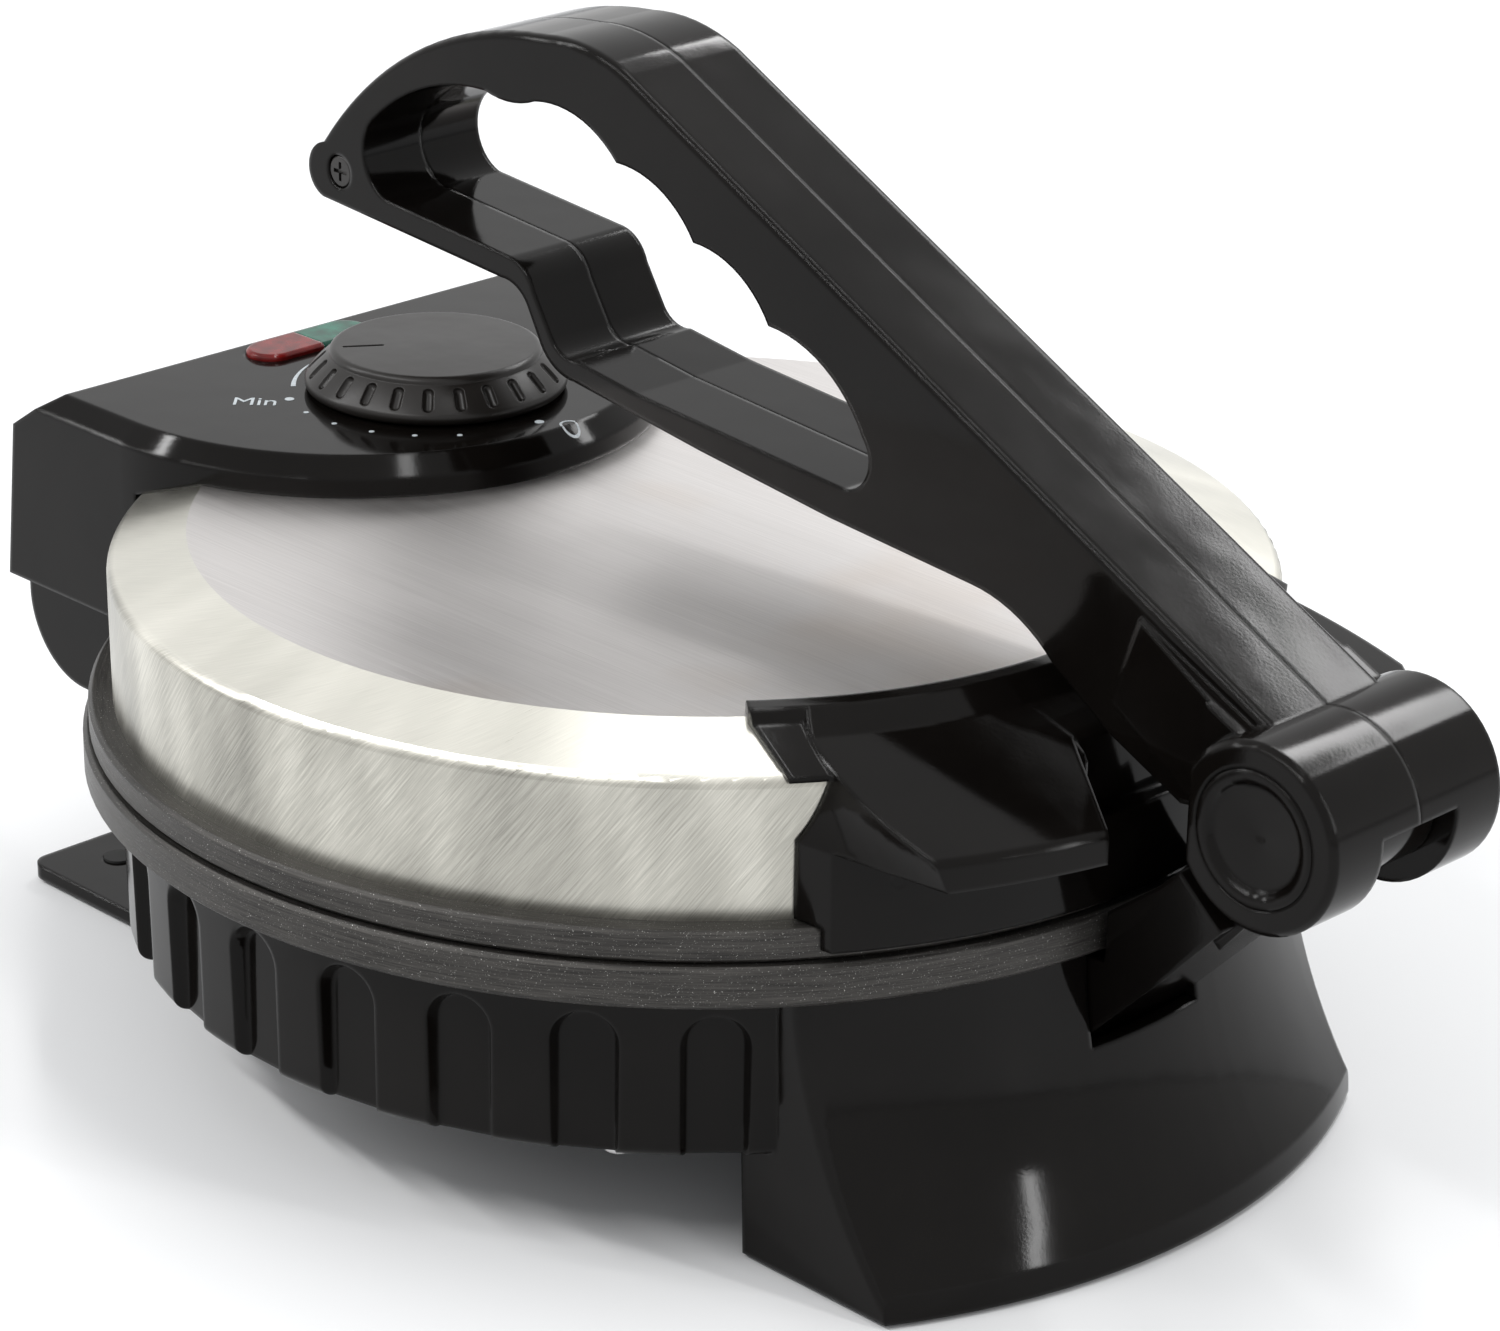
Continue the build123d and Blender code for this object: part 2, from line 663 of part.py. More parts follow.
lid_post_r = lid_r - 19
lid_posts_at = [(lid_post_r * cos(radians(a)), lid_post_r * sin(radians(a))) for a in (0, 120, -120)]
box_screws_at = [(knob_x - 9, 38), (knob_x - 9, -38), (knob_x + 21, 29), (knob_x + 21, -29)]
bracket_screws_n = 4
bracket_screw_angle = 27
bracket_screw_z = rim_z + 8.8
bracket_screw_ring = (bracket_screws_n, -bracket_screw_angle, 2 * bracket_screw_angle, True, True)
lens_x = -lid_r - 0.6
lens_y = -2.0
lamp_ys = (lens_y - 7.4, lens_y + 7.4)
thermostat_l = 30.0

with BuildPart() as lid_shell:
    with BuildSketch(Plane.XZ):
        with BuildLine():
            Polyline((0, crown_z), (disc_r, crown_z), (lid_r - 1.6, slope_z(lid_r - 1.6)))
            ThreePointArc(
                (lid_r - 1.6, slope_z(lid_r - 1.6)),
                (lid_r - 0.5, edge_z - 0.32),
                (lid_r, edge_z - 1.6),
            )
            Polyline(
                (lid_r, edge_z - 1.6),
                (shell_low_r, rim_z),
                (shell_low_r - sheet, rim_z),
                (lid_r - sheet, edge_z - 1.6),
            )
            ThreePointArc(
                (lid_r - sheet, edge_z - 1.6),
                (lid_r - 0.95, edge_z - 0.65),
                (lid_r - 1.9, slope_z(lid_r - 1.6) - sheet + 0.1),
            )
            Polyline(
                (lid_r - 1.9, slope_z(lid_r - 1.6) - sheet + 0.1),
                (disc_r - 0.2, crown_z - sheet),
                (0, crown_z - sheet),
                (0, crown_z),
            )
        make_face()
    revolve(axis=Axis.Z)
    with BuildSketch(Plane.XY.offset(crown_z - sheet)):
        with Locations((knob_x, 0)):
            RectangleRounded(46, 48, 5)
        with Locations(*box_screws_at):
            Circle(screw_hole_r)
    extrude(amount=sheet, mode=Mode.SUBTRACT)
    with PolarLocations(lid_r, *bracket_screw_ring):
        with Locations(Location((0, 0, bracket_screw_z), (0, 90, 0))):
            Cylinder(screw_hole_r, 4, mode=Mode.SUBTRACT)

with BuildPart() as upper_plate:
    add(cooking_plate(upper_face_z, upper_ring_r, rim_z - upper_face_z, 1))
    with BuildSketch(Plane.XY.offset(rim_z)):
        Circle(shell_low_r - sheet)
        Circle(shell_low_r - sheet - 2.4, mode=Mode.SUBTRACT)
    extrude(amount=4)
    with Locations(*[(x, y, upper_back_z) for x, y in clip_points(upper_turn)]):
        Cylinder(screw_r, 8, mode=Mode.SUBTRACT)
    with Locations(*[(x, y, upper_back_z) for x, y in lid_posts_at]):
        Cylinder(stud_r, 8, mode=Mode.SUBTRACT)

with BuildPart() as upper_heater:
    add(heater(upper_back_z + heater_r, 1, upper_pin_z, upper_turn))

with BuildPart() as upper_clips:
    add(clips(upper_back_z, 1, upper_turn))

with BuildPart() as upper_clip_screws:
    with Locations(
        *[Location((x, y, upper_back_z + strap_t), (180, 0, 0)) for x, y in clip_points(upper_turn)]
    ):
        add(screw(2.8, 2, screw_r, 5.2))

with BuildPart() as lid_posts:
    with BuildSketch(Plane.XY.offset(upper_back_z)):
        with Locations(*lid_posts_at):
            RegularPolygon(post_r, 6)
    extrude(amount=reflector_z - upper_back_z)
    with BuildSketch(Plane.XY.offset(upper_back_z - stud_depth)):
        with Locations(*lid_posts_at):
            Circle(stud_r)
    extrude(amount=reflector_z + 6 - upper_back_z + stud_depth)

with BuildPart() as lid_nuts:
    with BuildSketch(Plane.XY.offset(reflector_z + sheet)):
        with Locations(*lid_posts_at):
            RegularPolygon(nut_r, 6)
            Circle(stud_r, mode=Mode.SUBTRACT)
    extrude(amount=nut_h)

with BuildPart() as upper_reflector:
    with BuildSketch(Plane.XZ):
        with BuildLine():
            Polyline(
                (0, reflector_z),
                (upper_tray_r - sheet, reflector_z),
                (upper_tray_r - sheet, reflector_z - 6),
                (upper_tray_r, reflector_z - 6),
                (upper_tray_r, reflector_z + sheet),
                (0, reflector_z + sheet),
                close=True,
            )
        make_face()
    revolve(axis=Axis.Z)
    with BuildSketch(Plane.XY.offset(reflector_z)):
        with Locations(*lid_posts_at):
            Circle(stud_r)
        with Locations((-pin_x, pin_y), (-pin_x, -pin_y)):
            Circle(pin_clear_r)
    extrude(amount=sheet, mode=Mode.SUBTRACT)

with BuildPart() as lid_insulation:
    with BuildSketch(Plane.XY.offset(reflector_z + sheet)):
        Circle(upper_tray_r - 3)
        with Locations(*lid_posts_at):
            Circle(post_r + 2, mode=Mode.SUBTRACT)
        with Locations((knob_x + 2, 0)):
            Rectangle(thermostat_l + 8, 2 * pin_y + 14, mode=Mode.SUBTRACT)
    extrude(amount=8)

# ---------------------------------------------------------------- control box
box_half = 61.8
box_arc_x = 14 - lid_r
box_low_z = seam_z + 3.8
box_wall = 2.6
panel_chamfer = 3.7
box_back_low = -lid_r - 25
box_back_mid = box_back_low + 3.5
box_back_mid_z = crown_z - 1.2
box_back_top = box_back_low + 16.6
floor_h = 2.5
hinge_screw_y = box_half - 5.8
hinge_screws_at = [(box_back_low + x, y) for x in (8, 18) for y in (-hinge_screw_y, hinge_screw_y)]
neck_r = 5.0  # threaded neck of the thermostat
lens_l = 29.8
lens_w = 10.4
lens_flange = 1.4
lamp_top = panel_z - box_wall - lens_flange


def box_solid(inset, low, high):
    """Box outline: straight sides and a round front, with a sloping back."""
    with BuildPart() as solid:
        with BuildSketch(Plane.XY.offset(low)):
            with Locations((box_arc_x, 0)):
                Circle(box_half - inset)
                Rectangle(60, 2 * (box_half - inset), align=(Align.MAX, Align.CENTER))
        extrude(amount=high - low)
        with BuildSketch(Plane.XZ):
            with BuildLine():
                Polyline(
                    (box_back_low + inset, box_low_z),
                    (box_back_mid + inset, box_back_mid_z - inset * 0.4),
                    (box_back_top + inset * 0.6, high),
                    (0, high),
                    (0, box_low_z),
                    close=True,
                )
            make_face()
        extrude(amount=80, both=True, mode=Mode.INTERSECT)
    return solid.part


with BuildPart() as lid_space:
    with BuildSketch(Plane.XZ):
        with BuildLine():
            Polyline(
                (0, seam_z),
                (upper_ring_r + fit, seam_z),
                (upper_ring_r + fit, rim_z + fit),
                (lid_r + fit, rim_z + fit),
                (lid_r + fit, slope_z(lid_r + fit)),
                (disc_r, crown_z),
                (0, crown_z),
                close=True,
            )
        make_face()
    revolve(axis=Axis.Z)

with BuildPart() as control_box:
    add(box_solid(0, box_low_z, panel_z))
    rim_edges = control_box.edges().filter_by_position(Axis.Z, panel_z, panel_z).sort_by(Axis.X)[1:]
    chamfer(rim_edges, panel_chamfer)
    add(box_solid(box_wall, box_low_z, panel_z - box_wall), mode=Mode.SUBTRACT)
    # wall that follows the steel cover, then the space that the lid fills
    with BuildSketch(Plane.XY.offset(box_low_z)):
        Circle(lid_r + fit + box_wall)
        Circle(lid_r - 2, mode=Mode.SUBTRACT)
        with Locations((box_arc_x, 0)):
            Rectangle(60, 2 * (box_half - box_wall / 2), align=(Align.MAX, Align.CENTER), mode=Mode.INTERSECT)
    extrude(amount=crown_z - 8 - box_low_z)
    with BuildSketch(Plane.XY.offset(crown_z - 6)):
        with Locations(*box_screws_at):
            Circle(4)
    extrude(amount=panel_z - box_wall - crown_z + 6)
    with BuildSketch(Plane.XY.offset(box_low_z)):
        with Locations(*hinge_screws_at):
            Circle(3.6)
    extrude(amount=14)
    add(lid_space.part, mode=Mode.SUBTRACT)
    add(box_solid(box_wall, box_low_z, box_low_z + floor_h), mode=Mode.SUBTRACT)
    # holes in the panel
    with BuildSketch(Plane.XY.offset(panel_z)):
        with Locations((knob_x, 0)):
            Circle(neck_r + 0.2)
        with Locations((lens_x, lens_y)):
            SlotOverall(lens_l + 0.2, lens_w + 0.2, rotation=90)
    extrude(amount=-box_wall, mode=Mode.SUBTRACT)
    with BuildSketch(Plane.XY.offset(crown_z)):
        with Locations(*box_screws_at):
            Circle(screw_r)
    extrude(amount=4, mode=Mode.SUBTRACT)
    with BuildSketch(Plane.XY.offset(box_low_z)):
        with Locations(*hinge_screws_at):
            Circle(screw_r)
    extrude(amount=12, mode=Mode.SUBTRACT)

with BuildPart() as hinge_cover:
    with BuildSketch(Plane.XY.offset(box_low_z)):
        with Locations((box_back_low + box_wall + 0.3, 0)):
            Rectangle(40, 2 * (box_half - box_wall - 0.2), align=(Align.MIN, Align.CENTER))
        Circle(lid_r + fit + box_wall + 2.4, mode=Mode.SUBTRACT)
        with Locations(*hinge_screws_at):
            Circle(screw_hole_r, mode=Mode.SUBTRACT)
    extrude(amount=floor_h)
    for y_side in (-1, 1):
        middle = y_side * (knuckle_inner + knuckle_outer) / 2
        with BuildSketch(Plane.XZ.offset(-middle)):
            with Locations((hinge_x, hinge_z)):
                Circle(knuckle_r)
                Rectangle(60, 60, align=(Align.CENTER, Align.MIN), mode=Mode.SUBTRACT)
                Rectangle(2 * knuckle_r, box_low_z - hinge_z, align=(Align.CENTER, Align.MIN))
        extrude(amount=(knuckle_outer - knuckle_inner) / 2, both=True)
    with BuildSketch(Plane.XY.offset(box_low_z - 12)):
        Circle(lower_ring_r + 0.6)
    extrude(amount=12, mode=Mode.SUBTRACT)
    with Locations(Location((hinge_x, 0, hinge_z), (90, 0, 0))):
        Cylinder(hinge_pin_r + turn_fit, 2 * pin_half, mode=Mode.SUBTRACT)

with BuildPart() as hinge_screws:
    with Locations(*[(x, y, box_low_z) for x, y in hinge_screws_at]):
        add(screw(3, 2.2, screw_r, 10))

with BuildPart() as box_screws:
    with Locations(*[(x, y, crown_z - sheet) for x, y in box_screws_at]):
        add(screw(3.2, 2.2, screw_r, 4.8))


def lens(side):
    """Half of a pill-shaped lens with a flange under the panel."""
    with BuildPart() as half:
        with BuildSketch(Plane.XY.offset(panel_z - box_wall)):
            with Locations((lens_x, lens_y)):
                SlotOverall(lens_l, lens_w, rotation=90)
        extrude(amount=box_wall + 1.3)
        chamfer(half.edges().group_by(Axis.Z)[-1], 0.6)
        with BuildSketch(Plane.XY.offset(lamp_top)):
            with Locations((lens_x, lens_y)):
                SlotOverall(lens_l + 1.8, lens_w + 1.8, rotation=90)
        extrude(amount=lens_flange)
        with BuildSketch(Plane.XY.offset(panel_z - 10)):
            with Locations((lens_x, lens_y)):
                Rectangle(20, 20, align=(Align.CENTER, Align.MAX if side < 0 else Align.MIN))
        extrude(amount=20, mode=Mode.INTERSECT)
    return half.part


with BuildPart() as red_lens:
    add(lens(-1))

with BuildPart() as green_lens:
    add(lens(1))

lamp_r = 2.4
with BuildPart() as lamps:
    with BuildSketch(Plane.XY.offset(lamp_top)):
        with Locations(*[(lens_x, y) for y in lamp_ys]):
            Circle(lamp_r)
    extrude(amount=-7)

with BuildPart() as lamp_holder:
    with BuildSketch(Plane.XY.offset(lamp_top)):
        with Locations((lens_x, lens_y)):
            Rectangle(11, 28)
        with Locations(*[(lens_x, y) for y in lamp_ys]):
            Circle(lamp_r, mode=Mode.SUBTRACT)
    extrude(amount=-2)

collar_top = panel_z + 2.4
spindle_r = 3.0
with BuildPart() as thermostat:
    with BuildSketch(Plane.XY.offset(crown_z - 14)):
        with Locations((knob_x, 0)):
            RectangleRounded(thermostat_l, 28, 3)
    extrude(amount=16.5)
    with BuildSketch(Plane.XY.offset(crown_z + 2.5)):
        with Locations((knob_x, 0)):
            Circle(9)
    extrude(amount=panel_z - box_wall - crown_z - 2.5)
    with BuildSketch(Plane.XY.offset(panel_z - box_wall)):
        with Locations((knob_x, 0)):
            Circle(neck_r)
    extrude(amount=collar_top - panel_z + box_wall)
    with BuildSketch(Plane.XY.offset(collar_top)):
        with Locations((knob_x, 0)):
            Circle(spindle_r + turn_fit)
    extrude(amount=-14, mode=Mode.SUBTRACT)

with BuildPart() as thermostat_nut:
    with BuildSketch(Plane.XY.offset(panel_z)):
        with Locations((knob_x, 0)):
            RegularPolygon(8, 6)
            Circle(neck_r, mode=Mode.SUBTRACT)
    extrude(amount=2.2)

lamp_wire_z = crown_z + 1.3
with BuildPart() as lid_wiring:
    for side in (-1, 1):
        with BuildLine():
            FilletPolyline(
                (-pin_x, side * pin_y, upper_pin_z),
                (-pin_x, side * pin_y, upper_pin_z + 6),
                (-pin_x, side * 14, upper_pin_z + 6),
                radius=4,
            )
        with BuildSketch(Plane(origin=(-pin_x, side * pin_y, upper_pin_z))):
            Circle(wire_r)
        sweep()
    for y in lamp_ys:
        with BuildLine():
            FilletPolyline(
                (knob_x - thermostat_l / 2, y, lamp_wire_z),
                (lens_x + 11.6, y, lamp_wire_z),
                (lens_x + 5.6, y, lamp_wire_z - 2.4),
                (lens_x + lamp_r, y, lamp_wire_z - 2.4),
                radius=3,
            )
        with BuildSketch(Plane(origin=(knob_x - thermostat_l / 2, y, lamp_wire_z), z_dir=(-1, 0, 0))):
            Circle(1)
        sweep()

# ---------------------------------------------------------------- front bracket of the lid
cap_half = 39  # half angles, degrees
ridge_half = 37
wall_half = 36.3
centre_half = 13
notch_half = 9.2
wing_root_r = lid_r - 8
wing_front_r = lid_r + 26
wing_back_z = crown_z - 1.4
wing_front_z = edge_z - 5.6
wing_low_z = wing_front_z - 6
wing_skirt = 2.4
wing_gap = 18.3
bracket_r = upper_ring_r + 2
bracket_low_z = seam_z + 2.4


def turned(points, half_angle):
    """Solid turned about the plates' axis through +/- half_angle round the front."""
    with BuildPart() as piece:
        with BuildSketch(Plane.XZ.rotated((0, 0, -half_angle))):
            with BuildLine():
                Polyline(*points, close=True)
            make_face()
        revolve(axis=Axis.Z, revolution_arc=2 * half_angle)
    return piece.part


wing_top_z = crown_z + 3
ridge_z = crown_z + 2.5
side_line = [(lid_r - 27, 65.9), (lid_r + 48, 56.7)]  # outer side of the bracket, seen from above
gap_line = [(lid_r + 48, wing_gap + 31.7), (lid_r + 0.5, wing_gap)]  # its side towards the lever
flange_line = [(lid_r - 42, 60), (lid_r + 8, 75.3)]  # end of the flange over the cover's rim


def wings(inset, top_drop):
    """Sloping hoods on both sides of the lever, leaning out to the bracket's wall."""
    low_outline = [*side_line, *gap_line, (lid_r - 27, wing_gap)]
    top_outline = [(lid_r - 36.2, 51.2), (lid_r + 48, 84.8), *gap_line, (lid_r - 36.2, wing_gap)]
    with BuildPart() as hoods:
        for side in (-1, 1):
            for outline, z in ((low_outline, wing_low_z), (top_outline, wing_top_z)):
                with BuildSketch(Plane.XY.offset(z)):
                    with BuildLine():
                        Polyline(*[(x, side * y) for x, y in outline], close=True)
                    make_face()
                    if inset:
                        offset(amount=-inset, kind=Kind.INTERSECTION)
            loft()
        add(
            turned(
                [
                    (disc_r, wing_low_z),
                    (disc_r, ridge_z - top_drop),
                    (disc_r + 2.4, ridge_z - top_drop),
                    (wing_root_r, wing_back_z - top_drop),
                    (wing_front_r - 1 - inset, wing_front_z - top_drop),
                    (wing_front_r - inset, wing_front_z - 1 - top_drop),
                    (wing_front_r - inset, wing_low_z),
                ],
                ridge_half,
            ),
            mode=Mode.INTERSECT,
        )
    return hoods.part


with BuildPart() as wing_hollow:
    add(wings(wing_skirt, wing_skirt))
    with BuildSketch(Plane.XY.offset(wing_low_z)):
        Circle(bracket_r)
    extrude(amount=wing_top_z - wing_low_z, mode=Mode.SUBTRACT)

with BuildPart() as bracket_wall:
    add(
        turned(
            [
                (bracket_r, wing_low_z),
                (bracket_r + 0.3, bracket_low_z),
                (upper_ring_r + fit, bracket_low_z),
                (upper_ring_r + fit, rim_z),
                (lid_r + fit, rim_z),
                (lid_r + fit, wing_low_z),
            ],
            wall_half,
        )
    )
    with BuildSketch(Plane.XY.offset(bracket_low_z)):
        with BuildLine():
            Polyline(*side_line, *[(x, -y) for x, y in reversed(side_line)], close=True)
        make_face()
    extrude(amount=crown_z - bracket_low_z, mode=Mode.INTERSECT)

with BuildPart() as ridge:
    add(
        turned(
            [
                (disc_r - 2.3, crown_z),
                (disc_r - 2.3, crown_z + 1.6),
                (disc_r - 1.2, ridge_z),
                (disc_r + 2.4, ridge_z),
                (disc_r + 3.8, slope_z(disc_r + 3.8) + 1.2),
                (lid_r + 1, slope_z(lid_r + 1) + 1),
                (lid_r + 1, slope_z(lid_r + 1)),
                (disc_r, crown_z),
            ],
            cap_half,
        )
    )
    with BuildSketch(Plane.XY.offset(edge_z - 2)):
        with BuildLine():
            Polyline(*flange_line, *[(x, -y) for x, y in reversed(flange_line)], close=True)
        make_face()
    extrude(amount=wing_top_z - edge_z + 2, mode=Mode.INTERSECT)

with BuildPart() as lid_bracket:
    add(wings(0, 0))
    add(wing_hollow.part, mode=Mode.SUBTRACT)
    add(ridge.part)
    add(bracket_wall.part)
    # between the hoods, behind the lever
    add(
        turned(
            [
                (disc_r, crown_z),
                (disc_r, ridge_z),
                (disc_r + 2.4, ridge_z),
                (wing_root_r, wing_back_z),
                (lid_r + 2.4, edge_z + 0.8),
                (bracket_r - 1, edge_z - 0.8),
                (bracket_r, edge_z - 2.2),
                (bracket_r, wing_low_z - 1),
                (lid_r + fit, wing_low_z - 1),
                (lid_r + fit, slope_z(lid_r + fit)),
            ],
            centre_half,
        )
    )
    # notch behind the lever's beam
    add(
        turned(
            [
                (lid_r + 3, rim_z + 12.8),
                (lid_r + 13, rim_z + 12.8),
                (lid_r + 13, edge_z + 2.4),
                (lid_r + 3, edge_z + 2.4),
            ],
            notch_half,
        ),
        mode=Mode.SUBTRACT,
    )
    add(lid_space.part, mode=Mode.SUBTRACT)
    with PolarLocations(lid_r + 3, *bracket_screw_ring):
        with Locations(Location((0, 0, bracket_screw_z), (0, 90, 0))):
            Cylinder(screw_r, 6, mode=Mode.SUBTRACT)

with BuildPart() as bracket_screws:
    with PolarLocations(shell_low_r - sheet, *bracket_screw_ring):
        with Locations(Location((0, 0, bracket_screw_z), (0, 90, 0))):
            add(screw(3.6, 2.2, screw_r, 6))

# ---------------------------------------------------------------- press lever
lever_half_w = 15.0
barrel_half = 23.0
barrel_outer_r = 17.3
slot_half = 10.0
slot_r = 13.5
slot_start = 194  # open sector of the barrel that clears the arm, degrees
slot_end = 365
cap_r = 12.5
cap_seat = 17.0
lever_reach = 157.1  # of the outline below, from its origin to the pivot
lever_plane = Plane(origin=(pivot_x - lever_reach, 0, edge_z), x_dir=(1, 0, 0), z_dir=(0, -1, 0))
barrel_at = (lever_reach, -pivot_drop)
grip_cusps = [(33.3, 55.5), (13.7, 66.6), (-6.8, 77.2), (-29, 84.2)]
nose_screw_at = (-86.1, 58.0)
beam_screws_at = [(76, 38), (121, 14)]
lever_boss_r = 3.6
sink_r = 3.4
screw_sink = 4.0
nose_sink = 1.4

with BuildPart() as lever_half:
    with BuildSketch(lever_plane):
        with BuildLine():
            ThreePointArc((-91.2, 51.9), (-95.4, 57.2), (-91.8, 62.8))
            ThreePointArc((-91.8, 62.8), (-63, 87.2), (-27.3, 97.2))
            TangentArc((-27.3, 97.2), (-4.5, 94.2), tangent=(1, 0.16))
            Polyline((-4.5, 94.2), (163, 9.35), barrel_at, (134.6, -5.4), (117.7, 2.5), (104.3, 11.4))
            ThreePointArc((104.3, 11.4), (93, 18.6), (84.5, 20.4))
            Polyline((84.5, 20.4), (49.4, 23.2), (16.2, 27), (-18, 31.7))
            ThreePointArc((-18, 31.7), (-24.4, 33.6), (-28.2, 38.2))
            Line((-28.2, 38.2), (-31.3, 43.8))
            ThreePointArc((-31.3, 43.8), (-34, 46.5), (-38.7, 47.6))
            Line((-38.7, 47.6), (-91.2, 51.9))
        make_face()
        with BuildLine():
            Line((-72.4, 55.3), (-36.4, 52.2))
            ThreePointArc((-36.4, 52.2), (-32.2, 50.4), (-29.6, 46.6))
            Line((-29.6, 46.6), (-24.6, 38.6))
            ThreePointArc((-24.6, 38.6), (-21.8, 36.3), (-17.3, 35.9))
            Polyline((-17.3, 35.9), (-1.1, 33.7), (53, 29.6))
            ThreePointArc((53, 29.6), (58.6, 33.6), (57.4, 40.4))
            ThreePointArc((57.4, 40.4), (48.5, 50.5), grip_cusps[0])
            for start, end in zip(grip_cusps, grip_cusps[1:]):
                SagittaArc(start, end, -3)
            ThreePointArc((-29, 84.2), (-36, 82.6), (-43, 83.4))
            ThreePointArc((-43, 83.4), (-62, 79.6), (-76, 70.6))
            ThreePointArc((-76, 70.6), (-78.6, 62), (-72.4, 55.3))
        make_face(mode=Mode.SUBTRACT)
    extrude(amount=lever_half_w)
    outer_edges = lever_half.edges().filter_by_position(Axis.Y, -lever_half_w, -lever_half_w)
    crown_edges = outer_edges.filter_by(lambda edge: edge.length > 70 or edge.center().Z > edge_z + 90)
    fillet(crown_edges, 1.5)
    # pivot barrel with a flare from the lever's wall to the barrel's end
    with BuildSketch(Plane.XZ):
        with Locations((pivot_x, pivot_z)):
            Circle(barrel_outer_r)
    extrude(amount=barrel_half)
    with BuildSketch(lever_plane):
        with BuildLine():
            Polyline((118, 8), (150, -8), barrel_at, (lever_reach + 4, 8), (124, 25.5), close=True)
        make_face()
    extrude(amount=lever_half_w + 4)
    with BuildSketch(Plane.XY):
        Polygon(
            (pivot_x - 277, 0),
            (pivot_x - 277, -lever_half_w),
            (pivot_x - 39, -lever_half_w),
            (pivot_x - 15, -lever_half_w - 3),
            (pivot_x - 15, -barrel_half - 1),
            (pivot_x + 23, -barrel_half - 1),
            (pivot_x + 23, 0),
            align=None,
        )
    extrude(amount=300, mode=Mode.INTERSECT)
    barrel_rim = lever_half.edges().filter_by_position(Axis.Y, -barrel_half, -barrel_half)
    chamfer(barrel_rim, 1)
    # room for the arm's eye, and the open sector it swings through
    with BuildSketch(Plane.XZ):
        with Locations((pivot_x, pivot_z)):
            Circle(slot_r)
        with BuildLine():
            first = (pivot_x + 30 * cos(radians(slot_start)), pivot_z + 30 * sin(radians(slot_start)))
            last = (pivot_x + 30 * cos(radians(slot_end)), pivot_z + 30 * sin(radians(slot_end)))
            Line((pivot_x, pivot_z), first)
            ThreePointArc(first, (pivot_x, pivot_z - 30), last)
            Line(last, (pivot_x, pivot_z))
        make_face()
    extrude(amount=slot_half, mode=Mode.SUBTRACT)
    # bore and recess of the pivot pin
    with BuildSketch(Plane.XZ):
        with Locations((pivot_x, pivot_z)):
            Circle(pivot_pin_r)
    extrude(amount=barrel_half, mode=Mode.SUBTRACT)
    with BuildSketch(Plane.XZ.offset(cap_seat)):
        with Locations((pivot_x, pivot_z)):
            Circle(cap_r)
    extrude(amount=barrel_half - cap_seat, mode=Mode.SUBTRACT)
    # hollow of the beam and of the grip, with screw bosses left standing
    with BuildSketch(lever_plane):
        Polygon((66, 52), (66, 29), (88, 25), (106, 15.5), (120, 6.5), (132, 1.5), (136, 15), align=None)
        with Locations(*beam_screws_at):
            Circle(lever_boss_r, mode=Mode.SUBTRACT)
        with Locations(Location((22, 72.7), -26.9)):
            SlotOverall(62, 6)
    extrude(amount=lever_half_w - moulding, mode=Mode.SUBTRACT)

with BuildPart() as lever_far:
    mirror(lever_half.part, about=Plane.XZ)
    with BuildSketch(lever_plane):
        with Locations(*beam_screws_at):
            Circle(screw_hole_r)
    extrude(amount=-lever_half_w, mode=Mode.SUBTRACT)
    with BuildSketch(lever_plane.offset(-lever_half_w)):
        with Locations(*beam_screws_at):
            Circle(sink_r)
    extrude(amount=screw_sink, mode=Mode.SUBTRACT)
    with BuildSketch(lever_plane):
        with Locations(nose_screw_at):
            Circle(screw_r)
    extrude(amount=-8, mode=Mode.SUBTRACT)

with BuildPart() as lever_near:
    add(lever_half.part)
    with BuildSketch(lever_plane):
        with Locations(nose_screw_at):
            Circle(screw_hole_r)
    extrude(amount=lever_half_w, mode=Mode.SUBTRACT)
    with BuildSketch(lever_plane.offset(lever_half_w)):
        with Locations(nose_screw_at):
            Circle(sink_r)
    extrude(amount=-nose_sink, mode=Mode.SUBTRACT)
    with BuildSketch(lever_plane):
        with Locations(*beam_screws_at):
            Circle(screw_r)
    extrude(amount=8, mode=Mode.SUBTRACT)

with BuildPart() as lever_screws:
    nose_x, nose_z = nose_screw_at
    with Locations(lever_plane.offset(lever_half_w - nose_sink) * Location((nose_x, nose_z, 0), (180, 0, 0))):
        add(screw(3.2, 1.2, screw_r, 18))
    for x, z in beam_screws_at:
        with Locations(lever_plane.offset(screw_sink - lever_half_w) * Location((x, z, 0))):
            add(screw(3.2, 2.2, screw_r, 17))

nut_end_r = 3.0  # threaded end of the pivot pin
with BuildPart() as pivot_pin:
    with BuildSketch(Plane.XZ.offset(-cap_seat)):
        with Locations((pivot_x, pivot_z)):
            Circle(pivot_pin_r)
    extrude(amount=2 * cap_seat)
    with BuildSketch(Plane.XZ.offset(cap_seat)):
        with Locations((pivot_x, pivot_z)):
            RegularPolygon(7, 6)
    extrude(amount=3)
    with BuildSketch(Plane.XZ.offset(-cap_seat)):
        with Locations((pivot_x, pivot_z)):
            Circle(nut_end_r)
    extrude(amount=-3)

with BuildPart() as pivot_nut:
    with BuildSketch(Plane.XZ.offset(-cap_seat)):
        with Locations((pivot_x, pivot_z)):
            RegularPolygon(6.5, 6)
            Circle(nut_end_r, mode=Mode.SUBTRACT)
    extrude(amount=-2.8)

